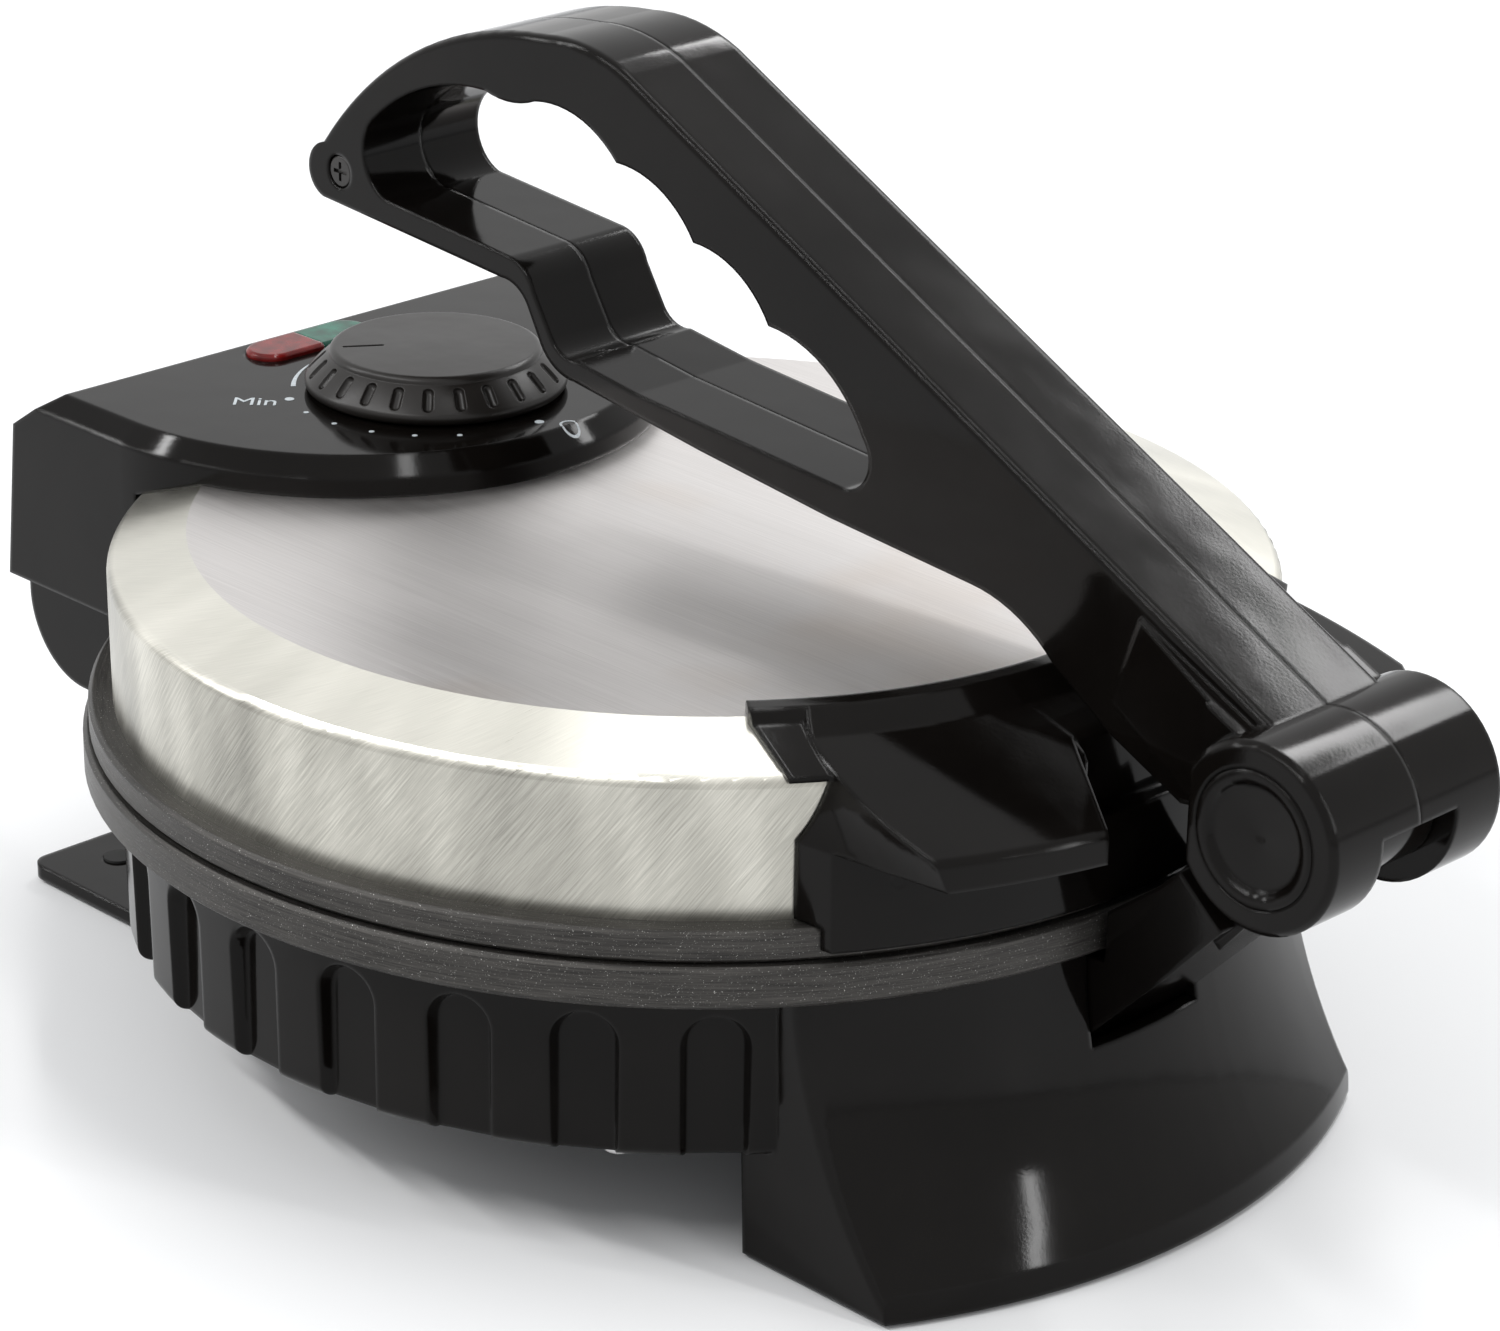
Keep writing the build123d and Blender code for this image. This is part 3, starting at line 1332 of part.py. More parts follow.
cap_rim_y = barrel_half + 0.3
with BuildPart() as cap:
    with BuildSketch(Plane.XY):
        with BuildLine():
            Polyline(
                (0, cap_seat + 4),
                (cap_r - 3.1, cap_rim_y - 1.3),
                (cap_r - 2.3, cap_rim_y - 0.3),
                (cap_r - 1.5, cap_rim_y),
                (cap_r - 0.4, cap_rim_y),
                (cap_r, cap_rim_y - 0.5),
                (cap_r, cap_seat),
                (cap_r - 1.6, cap_seat),
                (cap_r - 1.6, cap_seat + 3.4),
                (0, cap_seat + 3.4),
                close=True,
            )
        make_face()
    revolve(axis=Axis.Y)

with BuildPart() as near_cap:
    with Locations(Location((pivot_x, 0, pivot_z), (180, 0, 0))):
        add(cap.part)

with BuildPart() as far_cap:
    with Locations((pivot_x, 0, pivot_z)):
        add(cap.part)

# ---------------------------------------------------------------- knob
knob_low_z = panel_z + 0.6
knob_top_z = panel_z + 9
knob_base_r = 26.4
knob_cap_r = 21.2
knob_flutes = 24
flute_r = 1.15
flute_l = 5.2
flute_end_r = 1.0
pointer_angle = -126
pointer_mid = 14.5  # from the knob's axis to the middle of its pointer line
pointer_l = 8.4
pointer_w = 0.9
pointer_depth = 0.5
hub_lift = 3.2
hub_r = 6.0
spindle_grip = 3.0
with BuildPart() as knob_flute:
    flute_start = (knob_cap_r + 1.0, 0, knob_top_z - 1.9)
    with BuildSketch(Plane(origin=flute_start, x_dir=(0, 1, 0), z_dir=(0.715, 0, -0.7))):
        Circle(flute_r)
    extrude(amount=flute_l)
    fillet(knob_flute.edges().filter_by(GeomType.CIRCLE), flute_end_r)

with BuildPart() as knob_body:
    with BuildSketch(Plane.XZ):
        with BuildLine():
            Line((0, knob_top_z), (knob_cap_r - 1.2, knob_top_z - 0.2))
            ThreePointArc(
                (knob_cap_r - 1.2, knob_top_z - 0.2),
                (knob_cap_r - 0.2, knob_top_z - 0.6),
                (knob_cap_r + 0.2, knob_top_z - 1.6),
            )
            ThreePointArc(
                (knob_cap_r + 0.2, knob_top_z - 1.6),
                (knob_cap_r + 2.7, knob_low_z + 4.6),
                (knob_base_r - 0.3, knob_low_z + 2.2),
            )
            ThreePointArc(
                (knob_base_r - 0.3, knob_low_z + 2.2),
                (knob_base_r, knob_low_z + 1.2),
                (knob_base_r - 0.6, knob_low_z),
            )
            Polyline(
                (knob_base_r - 0.6, knob_low_z),
                (19, knob_low_z),
                (18.5, knob_top_z - 2.6),
                (hub_r, knob_top_z - 2.6),
                (hub_r, knob_low_z + hub_lift),
                (0, knob_low_z + hub_lift),
                (0, knob_top_z),
            )
        make_face()
    revolve(axis=Axis.Z)
    with PolarLocations(0, knob_flutes):
        add(knob_flute.part, mode=Mode.SUBTRACT)
    with BuildSketch(Plane.XY.offset(knob_top_z - pointer_depth)):
        with PolarLocations(pointer_mid, 1, start_angle=pointer_angle):
            SlotOverall(pointer_l, pointer_w)
    extrude(amount=pointer_depth, mode=Mode.SUBTRACT)
    with BuildSketch(Plane.XY.offset(knob_low_z + hub_lift)):
        Circle(spindle_r)
    extrude(amount=spindle_grip, mode=Mode.SUBTRACT)

with BuildPart() as knob:
    with Locations((knob_x, 0, 0)):
        add(knob_body.part)

with BuildPart() as knob_spindle:
    with BuildSketch(Plane.XY.offset(crown_z - 1)):
        with Locations((knob_x, 0)):
            Circle(spindle_r)
    extrude(amount=knob_low_z + hub_lift + spindle_grip - crown_z + 1)

# ---------------------------------------------------------------- pieces
pieces = {
    "base_housing": base_housing,
    "base_cover": base_cover,
    "cover_screws": cover_screws,
    "foot_cover": foot_cover,
    "foot_screws": foot_screws,
    "rubber_feet": rubber_feet,
    "lower_plate": lower_plate,
    "lower_heater": lower_heater,
    "lower_clips": lower_clips,
    "lower_clip_screws": lower_clip_screws,
    "lower_posts": lower_posts,
    "post_nuts": post_nuts,
    "lower_reflector": lower_reflector,
    "thermal_fuse": thermal_fuse,
    "fuse_clip": fuse_clip,
    "terminal_block": terminal_block,
    "base_wiring": base_wiring,
    "cord_gland": cord_gland,
    "press_arm": press_arm,
    "arm_bush": arm_bush,
    "arm_bolts": arm_bolts,
    "arm_nuts": arm_nuts,
    "hinge_bracket": hinge_bracket,
    "bracket_bolts": bracket_bolts,
    "bracket_nuts": bracket_nuts,
    "hinge_pin": hinge_pin,
    "lid_shell": lid_shell,
    "upper_plate": upper_plate,
    "upper_heater": upper_heater,
    "upper_clips": upper_clips,
    "upper_clip_screws": upper_clip_screws,
    "lid_posts": lid_posts,
    "lid_nuts": lid_nuts,
    "upper_reflector": upper_reflector,
    "lid_insulation": lid_insulation,
    "control_box": control_box,
    "hinge_cover": hinge_cover,
    "hinge_screws": hinge_screws,
    "box_screws": box_screws,
    "red_lens": red_lens,
    "green_lens": green_lens,
    "lamps": lamps,
    "lamp_holder": lamp_holder,
    "thermostat": thermostat,
    "thermostat_nut": thermostat_nut,
    "lid_wiring": lid_wiring,
    "lid_bracket": lid_bracket,
    "bracket_screws": bracket_screws,
    "lever_near": lever_near,
    "lever_far": lever_far,
    "lever_screws": lever_screws,
    "pivot_pin": pivot_pin,
    "pivot_nut": pivot_nut,
    "near_cap": near_cap,
    "far_cap": far_cap,
    "knob": knob,
    "knob_spindle": knob_spindle,
}

# from the plates' axis to the middle of the footprint
footprint_mid_x = (hinge_x - knuckle_r + pivot_x + barrel_outer_r) / 2
to_origin = Location((-footprint_mid_x, 0, 0))

os.makedirs("parts", exist_ok=True)
for name, piece in pieces.items():
    piece.part.label = name
    export_step(piece.part.moved(to_origin), f"parts/{name}.step")
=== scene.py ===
"""Looks of the flatbread maker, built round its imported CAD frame. Metres, in the frame of the part."""

import json
import math

import bmesh
import bpy
from mathutils import Matrix, Vector
from mathutils.bvhtree import BVHTree


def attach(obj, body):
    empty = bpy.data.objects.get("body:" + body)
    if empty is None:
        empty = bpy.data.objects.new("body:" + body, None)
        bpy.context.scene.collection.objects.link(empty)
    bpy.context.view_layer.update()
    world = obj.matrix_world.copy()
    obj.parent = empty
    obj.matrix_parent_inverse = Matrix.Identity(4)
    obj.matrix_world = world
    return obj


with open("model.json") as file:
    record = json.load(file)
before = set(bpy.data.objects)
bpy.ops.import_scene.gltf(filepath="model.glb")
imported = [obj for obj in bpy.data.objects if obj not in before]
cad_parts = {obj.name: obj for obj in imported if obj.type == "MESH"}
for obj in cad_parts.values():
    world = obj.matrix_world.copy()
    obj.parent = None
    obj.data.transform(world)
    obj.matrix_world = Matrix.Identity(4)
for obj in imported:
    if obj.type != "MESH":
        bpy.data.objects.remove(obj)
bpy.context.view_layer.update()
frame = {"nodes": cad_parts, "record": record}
nodes = frame["nodes"]
scene = bpy.context.scene
mm = 0.001

# Places that the looks share with the CAD
AXIS_X = -0.01395  # axis of the cooking plates
KNOB_X = AXIS_X - 0.075
DISC_R = 0.0968  # polished middle of the cover
SIDE_R = 0.1118  # where the cover's brushed rim turns down into its side
SIDE_BLEND = 0.0015


# ------------------------------------------------------------------ materials
class Build:
    """A node material under construction."""

    def __init__(self, name):
        self.mat = bpy.data.materials.new(name)
        self.mat.use_nodes = True
        self.tree = self.mat.node_tree
        self.tree.nodes.clear()
        self.out = self.node("ShaderNodeOutputMaterial")
        self.shader = self.node("ShaderNodeBsdfPrincipled")
        self.link(self.shader.outputs[0], self.out.inputs["Surface"])
        self.coords = self.node("ShaderNodeTexCoord").outputs["Object"]

    def node(self, kind, **values):
        made = self.tree.nodes.new(kind)
        for key, value in values.items():
            setattr(made, key, value)
        return made

    def link(self, a, b):
        self.tree.links.new(a, b)

    def set(self, **values):
        for key, value in values.items():
            self.shader.inputs[key.replace("_", " ")].default_value = value

    def to(self, socket, name):
        self.link(socket, self.shader.inputs[name])

    def placed(self, vector, scale, rotation=(0, 0, 0), kind="POINT"):
        """A vector scaled and turned."""
        mapping = self.node("ShaderNodeMapping", vector_type=kind)
        mapping.inputs["Scale"].default_value = scale
        mapping.inputs["Rotation"].default_value = rotation
        self.link(vector, mapping.inputs["Vector"])
        return mapping.outputs[0]

    def joined(self, x, y, z=None):
        """A vector from its parts."""
        made = self.node("ShaderNodeCombineXYZ")
        for socket, value in zip(made.inputs, (x, y, z)):
            if value is not None:
                self.link(value, socket)
        return made.outputs[0]

    def noise(self, scale, detail=4, rough=0.5, vector=None):
        made = self.node("ShaderNodeTexNoise")
        made.inputs["Scale"].default_value = scale
        made.inputs["Detail"].default_value = detail
        made.inputs["Roughness"].default_value = rough
        self.link(vector or self.coords, made.inputs["Vector"])
        return made.outputs["Fac"]

    def ramp(self, factor, *stops):
        made = self.node("ShaderNodeValToRGB")
        ramp = made.color_ramp
        while len(ramp.elements) < len(stops):
            ramp.elements.new(0.5)
        for element, (place, colour) in zip(ramp.elements, stops):
            element.position = place
            element.color = (*colour, 1) if hasattr(colour, "__len__") else (colour, colour, colour, 1)
        self.link(factor, made.inputs["Fac"])
        return made.outputs["Color"]

    def math(self, kind, a, b=None):
        made = self.node("ShaderNodeMath", operation=kind)
        for socket, value in zip(made.inputs, (a, b)):
            if value is None:
                continue
            if isinstance(value, (int, float)):
                socket.default_value = value
            else:
                self.link(value, socket)
        return made.outputs[0]

    def blend(self, a, share, b):
        """Two values added, the first by its share and the second by the rest."""
        return self.math("ADD", self.math("MULTIPLY", a, share), self.math("MULTIPLY", b, 1 - share))

    def mix(self, factor, a, b):
        made = self.node("ShaderNodeMix", data_type="RGBA")
        self.link(factor, made.inputs["Factor"])
        for socket, value in zip((made.inputs[6], made.inputs[7]), (a, b)):
            if isinstance(value, tuple):
                socket.default_value = (*value, 1)
            else:
                self.link(value, socket)
        return made.outputs[2]

    def bump(self, height, strength, distance, normal=None):
        made = self.node("ShaderNodeBump")
        made.inputs["Strength"].default_value = strength
        made.inputs["Distance"].default_value = distance
        self.link(height, made.inputs["Height"])
        if normal is not None:
            self.link(normal, made.inputs["Normal"])
        self.to(made.outputs[0], "Normal")
        return made.outputs[0]

    def polar(self):
        """Radius and angle about the plates' axis, and the height."""
        split = self.node("ShaderNodeSeparateXYZ")
        self.link(self.coords, split.inputs[0])
        x, y, z = split.outputs
        x = self.math("SUBTRACT", x, AXIS_X)
        squares = self.math("ADD", self.math("MULTIPLY", x, x), self.math("MULTIPLY", y, y))
        return self.math("SQRT", squares), self.math("ARCTAN2", y, x), z

    def rounded(self, radius):
        """Normals that round the sharp edges off."""
        made = self.node("ShaderNodeBevel", samples=6)
        made.inputs["Radius"].default_value = radius
        return made.outputs[0]


def moulded(name, dark, pale, rough, spread, grain=1400, wave=38, edge=0.0012, level=0.13):
    """Black moulded plastic: slight flow waviness, fine grain and dust-soft patches."""
    m = Build(name)
    patch = m.noise(26, 5, 0.6)
    m.to(m.ramp(patch, (0.3, dark), (0.75, pale)), "Base Color")
    m.to(m.ramp(patch, (0.25, rough), (0.8, rough + spread)), "Roughness")
    waves = m.bump(m.noise(wave, 2, 0.5), 0.10, 0.0012, m.rounded(edge))
    m.bump(m.noise(grain, 3, 0.6), 0.05, 0.0001, waves)
    m.set(IOR=1.5, Specular_IOR_Level=level)
    return m.mat


def plain(name, dark, pale, rough, spread, grain=900, metallic=1.0, strength=0.1):
    """Metal, rubber, felt or ceramic: patches of tone and gloss, and a fine grain."""
    m = Build(name)
    patch = m.noise(60, 5, 0.6)
    m.to(m.ramp(patch, (0.3, dark), (0.7, pale)), "Base Color")
    m.to(m.ramp(patch, (0.3, rough), (0.8, rough + spread)), "Roughness")
    m.bump(m.noise(grain, 3, 0.6), strength, 0.0001)
    m.set(Metallic=metallic)
    return m.mat


def tinted(name, deep, light):
    """Clear tinted lens with a moulded ripple under its face."""
    m = Build(name)
    ripple = m.noise(260, 2, 0.5)
    m.to(m.ramp(ripple, (0.35, deep), (0.7, light)), "Base Color")
    m.to(m.ramp(ripple, (0.3, 0.05), (0.8, 0.12)), "Roughness")
    m.bump(m.noise(90, 2, 0.4), 0.08, 0.0004, m.rounded(0.0008))
    m.set(IOR=1.49, Specular_IOR_Level=0.3)
    return m.mat


def steel_cover():
    """One pressed sheet: finely brushed disc, coarser slanted strokes on the rim and the side; painted
    warm reflection patches on the disc, painted reflection bands round the rim and the side, and painted
    shade that darkens the side.
    """
    m = Build("steel_cover")
    radius, angle, z = m.polar()
    rim = m.math("GREATER_THAN", radius, DISC_R)
    side = m.node("ShaderNodeMapRange", interpolation_type="SMOOTHSTEP")
    m.link(radius, side.inputs["Value"])
    side.inputs["From Min"].default_value = SIDE_R - SIDE_BLEND
    side.inputs["From Max"].default_value = SIDE_R
    # straight brushing on the disc
    lines = m.noise(1.0, 3, 0.7, m.placed(m.coords, (22, 2400, 30), (0, 0, math.radians(38))))
    # strokes that lean round the rim and the side, over millimetres round and millimetres down
    around = m.math("MULTIPLY", angle, 112.0)
    down = m.math("MULTIPLY", m.math("SUBTRACT", z, radius), 1000.0)
    unrolled = m.joined(around, down)
    leaning = m.placed(unrolled, (11, 0.32, 1), (0, 0, math.radians(52)), "TEXTURE")
    streaks = m.noise(1.0, 4, 0.65, leaning)
    # broad upright bands round the rim and the side: painted reflection streaks
    painted_reflection_bands = m.noise(1.0, 2, 0.5, m.placed(unrolled, (0.045, 0.012, 1)))
    cloud = m.noise(24, 4, 0.6)
    # large soft patches that warm the disc: painted reflection
    painted_warm_reflection = m.noise(11, 3, 0.55)
    # colours
    cool = m.ramp(lines, (0.25, (0.62, 0.597, 0.585)), (0.75, (0.74, 0.717, 0.705)))
    warm = m.ramp(lines, (0.25, (0.56, 0.50, 0.455)), (0.75, (0.69, 0.63, 0.58)))
    disc = m.mix(m.ramp(painted_warm_reflection, (0.50, 0.0), (0.66, 1.0)), cool, warm)
    # brushed streaks blended with the painted reflection bands
    strokes_and_painted_bands = m.blend(streaks, 0.4, painted_reflection_bands)
    slope = m.ramp(strokes_and_painted_bands, (0.3, (0.62, 0.61, 0.55)), (0.68, (0.82, 0.805, 0.735)))
    # side wall: painted shade, the same sheet coloured darker than the rim, with painted reflection bands
    painted_shade_wall = m.ramp(
        strokes_and_painted_bands, (0.34, (0.24, 0.235, 0.21)), (0.5, (0.44, 0.43, 0.385)), (0.66, (0.70, 0.685, 0.62))
    )
    m.to(m.mix(rim, disc, m.mix(side.outputs[0], slope, painted_shade_wall)), "Base Color")
    # gloss
    disc_rough = m.ramp(m.blend(lines, 0.5, cloud), (0.3, 0.32), (0.7, 0.42))
    rim_rough = m.ramp(strokes_and_painted_bands, (0.3, 0.26), (0.7, 0.40))
    m.to(m.mix(rim, disc_rough, rim_rough), "Roughness")
    # relief: shallow on the disc, full on the rim and the side
    height = m.node("ShaderNodeMix", data_type="FLOAT")
    m.link(rim, height.inputs[0])
    m.link(m.math("MULTIPLY", lines, 0.16), height.inputs[2])
    m.link(streaks, height.inputs[3])
    m.bump(height.outputs[0], 0.22, 0.00012)
    m.set(Metallic=1.0)
    return m.mat


def cast_plate():
    """Dark cast metal with the fine rings of turning and bright specks."""
    m = Build("cast_plate")
    radius, angle, z = m.polar()
    rings = m.joined(
        m.math("MULTIPLY", angle, 9.0), m.math("MULTIPLY", radius, 2400.0), m.math("MULTIPLY", z, 2400.0)
    )
    turned = m.noise(1.0, 4, 0.7, rings)
    speck = m.noise(3600, 2, 0.7)
    tone = m.ramp(turned, (0.32, (0.010, 0.009, 0.008)), (0.72, (0.062, 0.058, 0.053)))
    bright = m.ramp(speck, (0.66, 0.0), (0.74, 1.0))
    m.to(m.mix(bright, tone, (0.55, 0.54, 0.52)), "Base Color")
    m.to(m.ramp(turned, (0.3, 0.34), (0.7, 0.50)), "Roughness")
    m.bump(turned, 0.5, 0.00018, m.rounded(0.0005))
    m.set(Metallic=0.5)
    return m.mat


# Name of the slot, darkest and palest colour, roughness, its spread, and what else differs
MOULDED = (
    ("black_gloss", (0.0022, 0.0017, 0.0014), (0.0050, 0.0041, 0.0035), 0.05, 0.07, {}),
    (
        "knob_black", (0.0075, 0.0062, 0.0054), (0.014, 0.012, 0.0105), 0.26, 0.12,
        {"grain": 2400, "wave": 90, "edge": 0.0004, "level": 0.3},
    ),
)
PLAIN = (
    ("black_screw", (0.010, 0.009, 0.008), (0.022, 0.020, 0.019), 0.25, 0.15, {"metallic": 0.3}),
    ("zinc_steel", (0.42, 0.42, 0.43), (0.62, 0.61, 0.60), 0.22, 0.18, {}),
    ("heater_steel", (0.16, 0.15, 0.14), (0.30, 0.29, 0.27), 0.35, 0.2, {}),
    ("reflector_tin", (0.62, 0.63, 0.64), (0.80, 0.80, 0.81), 0.16, 0.16, {}),
    ("bush_brass", (0.55, 0.38, 0.13), (0.75, 0.56, 0.24), 0.25, 0.15, {}),
    ("fuse_metal", (0.50, 0.46, 0.36), (0.66, 0.62, 0.52), 0.28, 0.15, {}),
    ("ceramic_white", (0.70, 0.68, 0.62), (0.82, 0.80, 0.75), 0.3, 0.15, {"metallic": 0.0}),
    (
        "cast_bracket", (0.012, 0.012, 0.013), (0.03, 0.03, 0.031), 0.38, 0.2,
        {"metallic": 0.0, "strength": 0.3},
    ),
    (
        "rubber_black", (0.010, 0.010, 0.010), (0.022, 0.022, 0.021), 0.62, 0.2,
        {"metallic": 0.0, "strength": 0.4},
    ),
    (
        "insulation_felt", (0.55, 0.52, 0.46), (0.78, 0.75, 0.68), 0.85, 0.1,
        {"grain": 1800, "metallic": 0.0, "strength": 0.8},
    ),
    (
        "wire_sleeve", (0.50, 0.49, 0.46), (0.66, 0.65, 0.60), 0.6, 0.2,
        {"grain": 3000, "metallic": 0.0, "strength": 0.6},
    ),
)
TINTED = (
    ("lens_red", (0.10, 0.004, 0.004), (0.22, 0.012, 0.011)),
    ("lens_green", (0.002, 0.055, 0.034), (0.006, 0.14, 0.088)),
    ("lamp_glass", (0.5, 0.22, 0.12), (0.8, 0.5, 0.35)),
)
looks = {"steel_cover": steel_cover(), "cast_plate": cast_plate()}
for maker, rows in ((moulded, MOULDED), (plain, PLAIN)):
    for *values, others in rows:
        looks[values[0]] = maker(*values, **others)
for name, deep, light in TINTED:
    looks[name] = tinted(name, deep, light)

slot_of = {s["node"]: s["material_slot"] for s in frame["record"]["subparts"]}
for name, node in nodes.items():
    node.data.materials.clear()
    node.data.materials.append(looks[slot_of[name]])

# ------------------------------------------------------------------ floor
FLOOR_HALF = 4.0
floor_mesh = bpy.data.meshes.new("floor")
edit = bmesh.new()
bmesh.ops.create_grid(edit, x_segments=8, y_segments=8, size=FLOOR_HALF)
edit.to_mesh(floor_mesh)
edit.free()
floor = bpy.data.objects.new("floor", floor_mesh)
scene.collection.objects.link(floor)
paper = Build("floor")
cloud = paper.noise(3, 2, 0.5)
paper.to(paper.ramp(cloud, (0.3, (0.90, 0.90, 0.90)), (0.7, (0.94, 0.94, 0.94))), "Base Color")
paper.set(Roughness=0.6)
floor.data.materials.append(paper.mat)

# ------------------------------------------------------------------ world
SEEN_STRENGTH = 1.0  # what the camera, metal and glass see
LIT_STRENGTH = 0.56  # what lights the rest
world = bpy.data.worlds.new("studio")
scene.world = world
world.use_nodes = True
tree = world.node_tree
tree.nodes.clear()


def background(colour, strength):
    made = tree.nodes.new("ShaderNodeBackground")
    made.inputs["Color"].default_value = (*colour, 1)
    made.inputs["Strength"].default_value = strength
    return made.outputs[0]


def larger(a, b):
    made = tree.nodes.new("ShaderNodeMath")
    made.operation = "MAXIMUM"
    tree.links.new(a, made.inputs[0])
    tree.links.new(b, made.inputs[1])
    return made.outputs[0]


paths = tree.nodes.new("ShaderNodeLightPath").outputs
straight = larger(paths["Is Camera Ray"], paths["Is Transmission Ray"])
choose = tree.nodes.new("ShaderNodeMixShader")
tree.links.new(larger(straight, paths["Is Glossy Ray"]), choose.inputs[0])
tree.links.new(background((0.95, 0.97, 1.0), LIT_STRENGTH), choose.inputs[1])
tree.links.new(background((1, 1, 1), SEEN_STRENGTH), choose.inputs[2])
tree.links.new(choose.outputs[0], tree.nodes.new("ShaderNodeOutputWorld").inputs["Surface"])

# ------------------------------------------------------------------ lamps: place, width, height and watts
CENTRE = (0, 0, 0.08)
LAMPS = {
    "front_strip": ((-0.2, -1.2, 1.45), 1.5, 0.07, 13),
    "top_strip": ((0.1, 0.15, 1.6), 1.2, 0.1, 6),
    "back_box": ((-0.15, 1.35, 1.3), 1.3, 0.14, 9),
    "left_strip": ((-1.45, -1.1, 1.15), 0.08, 1.1, 10),
    "right_strip": ((1.5, 0.35, 0.9), 0.08, 1.1, 7),
}
for name, (place, width, height, power) in LAMPS.items():
    data = bpy.data.lights.new(name, "AREA")
    data.shape = "RECTANGLE"
    data.size, data.size_y = width, height
    data.energy = power
    lamp = bpy.data.objects.new(name, data)
    scene.collection.objects.link(lamp)
    lamp.location = place
    lamp.rotation_mode = "QUATERNION"
    lamp.rotation_quaternion = (Vector(CENTRE) - Vector(place)).to_track_quat("-Z", "Y")

# ------------------------------------------------------------------ camera
CAMERA_AT = (0.58671, -0.58845, 0.4202)
CAMERA_AHEAD = (-0.65181, 0.65518, -0.38193)
CAMERA_ROLL = math.radians(0.97)
SENSOR_W = 36  # millimetres
FOCAL_SHARE = 4700 / 1500  # focal length as a share of the sensor's width
camera_data = bpy.data.cameras.new("camera")
camera = bpy.data.objects.new("camera", camera_data)
scene.collection.objects.link(camera)
scene.camera = camera
camera_data.sensor_width = SENSOR_W
camera_data.lens = FOCAL_SHARE * SENSOR_W
camera_data.clip_start = 0.01
ahead = Vector(CAMERA_AHEAD).normalized()
level = ahead.cross(Vector((0, 0, 1))).normalized()
rise = level.cross(ahead)
right = math.cos(CAMERA_ROLL) * level + math.sin(CAMERA_ROLL) * rise
up = right.cross(ahead)
turn = Matrix((right, up, -ahead)).transposed().to_4x4()
camera.matrix_world = Matrix.Translation(CAMERA_AT) @ turn
scene.view_settings.view_transform = "Standard"

# ------------------------------------------------------------------ printed marks of the dial
INK = 0.00008  # thickness of the print
edit = bmesh.new()
edit.from_mesh(nodes["control_box"].data)
panel = BVHTree.FromBMesh(edit)
edit.free()
ink = Build("dial_ink")
wear = ink.noise(1500, 3, 0.6)
ink.to(ink.ramp(wear, (0.3, (0.42, 0.47, 0.50)), (0.7, (0.62, 0.66, 0.68))), "Base Color")
ink.set(Roughness=0.4)


def on_panel(x, y, lift=0.0):
    """Point on the top of the control box, straight under (x, y)."""
    hit = panel.ray_cast(Vector((x, y, 0.3)), Vector((0, 0, -1)))[0]
    return Vector((x, y, hit.z + lift))


def stamp(edit, outline):
    """One flat printed mark: its outline laid on the panel, with a little thickness."""
    low = [edit.verts.new(on_panel(x, y, -INK / 2)) for x, y in outline]
    high = [edit.verts.new(v.co + Vector((0, 0, 1.5 * INK))) for v in low]
    edit.faces.new(high)
    edit.faces.new(low[::-1])
    for i in range(len(low)):
        j = (i + 1) % len(low)
        edit.faces.new((low[i], low[j], high[j], high[i]))


def polar_point(x, y, radius, angle):
    return x + radius * math.cos(angle), y + radius * math.sin(angle)


def dial_point(radius, degrees):
    return polar_point(KNOB_X, 0, radius, math.radians(degrees))


def printed(name, edit):
    """The finished marks as one piece that rides on the lid."""
    mesh = bpy.data.meshes.new(name)
    edit.to_mesh(mesh)
    edit.free()
    piece = bpy.data.objects.new(name, mesh)
    scene.collection.objects.link(piece)
    mesh.materials.append(ink.mat)
    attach(piece, "lid")
    return piece


# row of dots, the first and the last one larger
DOT_RING = 0.0302
DOT_FIRST = -116
DOT_PITCH = 16.7
DOT_LAST = 7
HIDDEN_DOT = 6
DOT_SIDES = 18
BIG_DOT_R = 0.95 * mm
SMALL_DOT_R = 0.55 * mm
marks = bmesh.new()
for k in range(DOT_LAST + 1):
    if k == HIDDEN_DOT:
        continue
    x, y = dial_point(DOT_RING, DOT_FIRST + DOT_PITCH * k)
    dot_r = BIG_DOT_R if k in (0, DOT_LAST) else SMALL_DOT_R
    stamp(marks, [polar_point(x, y, dot_r, math.tau * i / DOT_SIDES) for i in range(DOT_SIDES)])

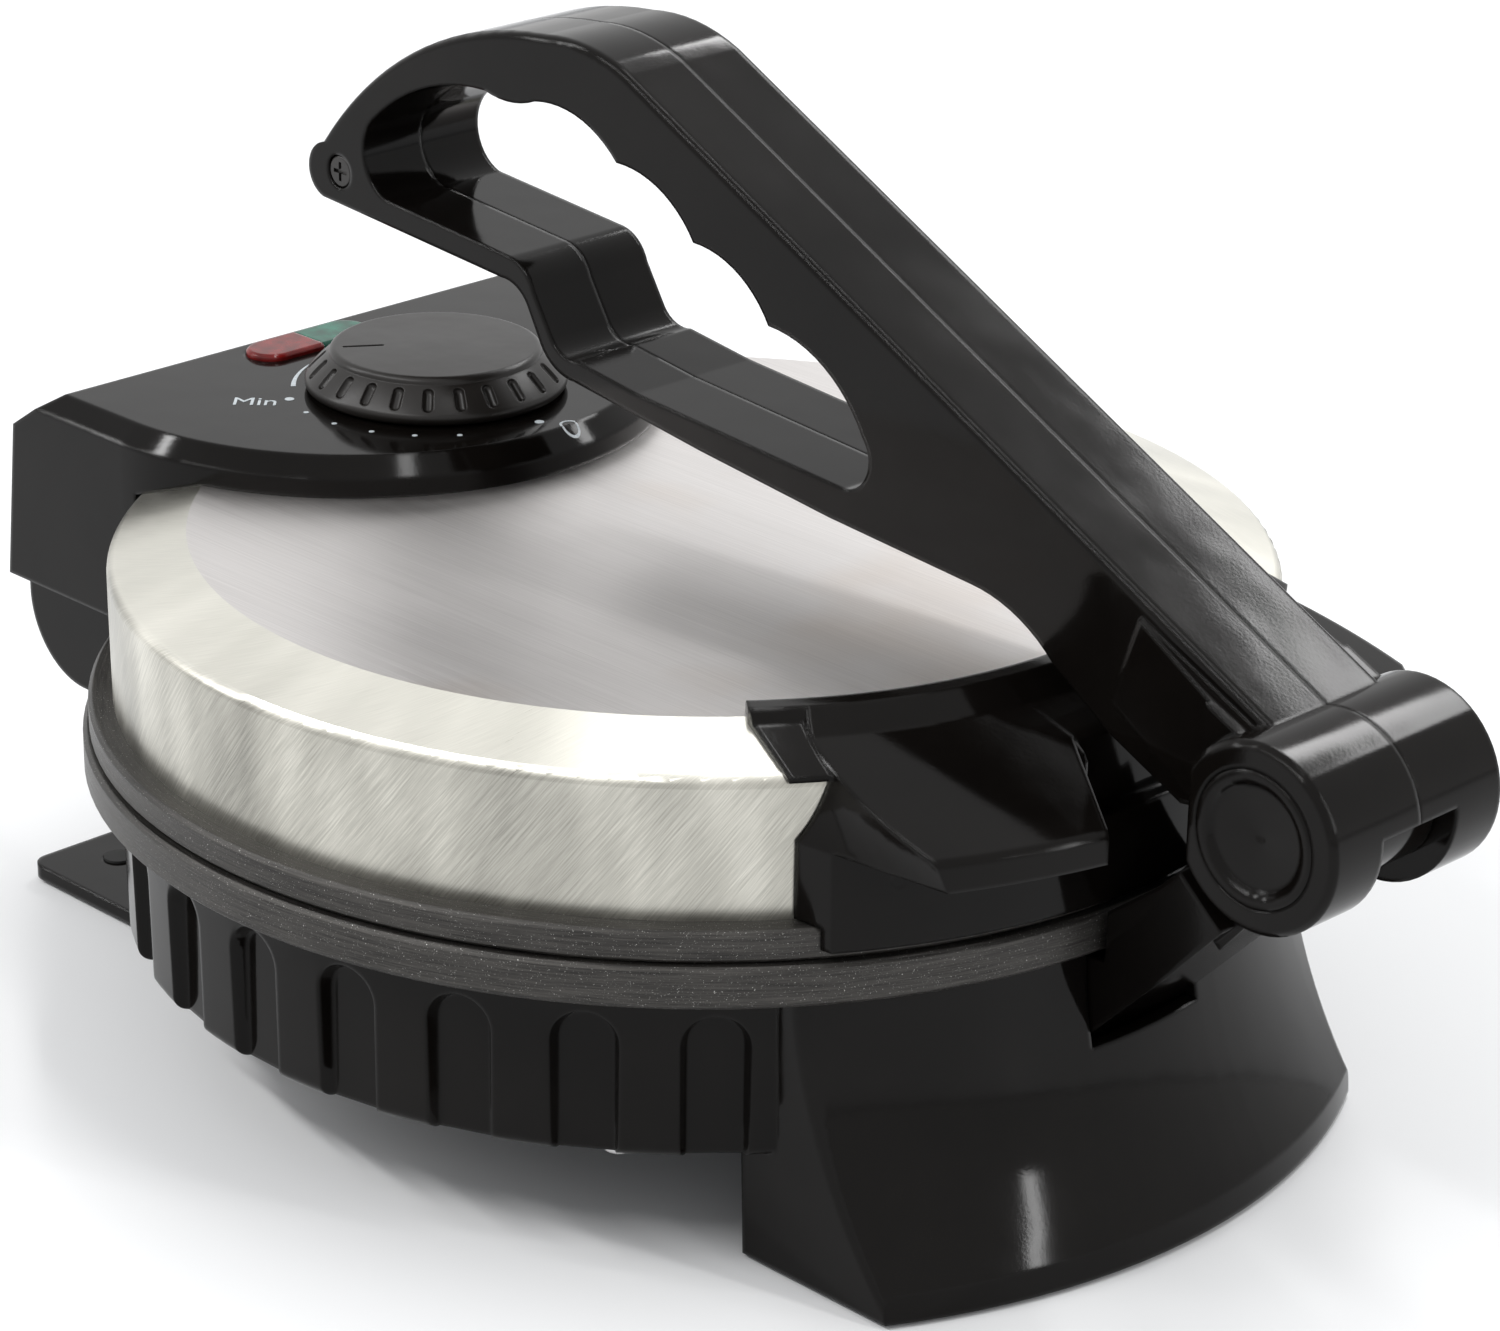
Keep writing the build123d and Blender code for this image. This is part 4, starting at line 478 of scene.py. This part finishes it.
# sweep that thins out towards its end
SWEEP_RING = 0.0286
SWEEP_HALF_W = 0.0005
SWEEP_THINNED = 0.0007  # what its width loses by its end
SWEEP_FIRST = -131
SWEEP_TURN = 30
SWEEP_STEPS = 16
outer, inner = [], []
for i in range(SWEEP_STEPS + 1):
    angle = SWEEP_FIRST - SWEEP_TURN * i / SWEEP_STEPS
    outer.append(dial_point(SWEEP_RING + SWEEP_HALF_W, angle))
    inner.append(dial_point(SWEEP_RING - SWEEP_HALF_W + SWEEP_THINNED * i / SWEEP_STEPS, angle))
for i in range(SWEEP_STEPS):
    stamp(marks, [outer[i], outer[i + 1], inner[i + 1], inner[i]])
printed("dial_marks", marks)

# lettering at the scale's low end
LETTER_AT = (AXIS_X - 0.0915, -0.0333)
LETTER_SIZE = 0.0062
LETTER_TURN = math.radians(45)
curve = bpy.data.curves.new("dial_min", "FONT")
curve.body = "Min"
curve.size = LETTER_SIZE
curve.extrude = INK
curve.align_x = "CENTER"
curve.align_y = "CENTER"
text = bpy.data.objects.new("dial_min", curve)
scene.collection.objects.link(text)
text.rotation_euler = (0, 0, LETTER_TURN)
text.location = on_panel(*LETTER_AT)
bpy.context.view_layer.update()
letters = bpy.data.meshes.new_from_object(text.evaluated_get(bpy.context.evaluated_depsgraph_get()))
letters.transform(text.matrix_world)
bpy.data.objects.remove(text)
letters.materials.clear()
letters.materials.append(ink.mat)
piece = bpy.data.objects.new("dial_min", letters)
scene.collection.objects.link(piece)
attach(piece, "lid")

# ring at the scale's high end
RING_AT = (AXIS_X - 0.0398, 0.0040)
RING_OUTER_R = 0.0021
RING_INNER_R = 0.0016
RING_SIDES = 20
ring = bmesh.new()
for i in range(RING_SIDES):
    a, b = math.tau * i / RING_SIDES, math.tau * (i + 1) / RING_SIDES
    corners = ((RING_OUTER_R, a), (RING_OUTER_R, b), (RING_INNER_R, b), (RING_INNER_R, a))
    stamp(ring, [polar_point(*RING_AT, radius, angle) for radius, angle in corners])
printed("dial_ring", ring)
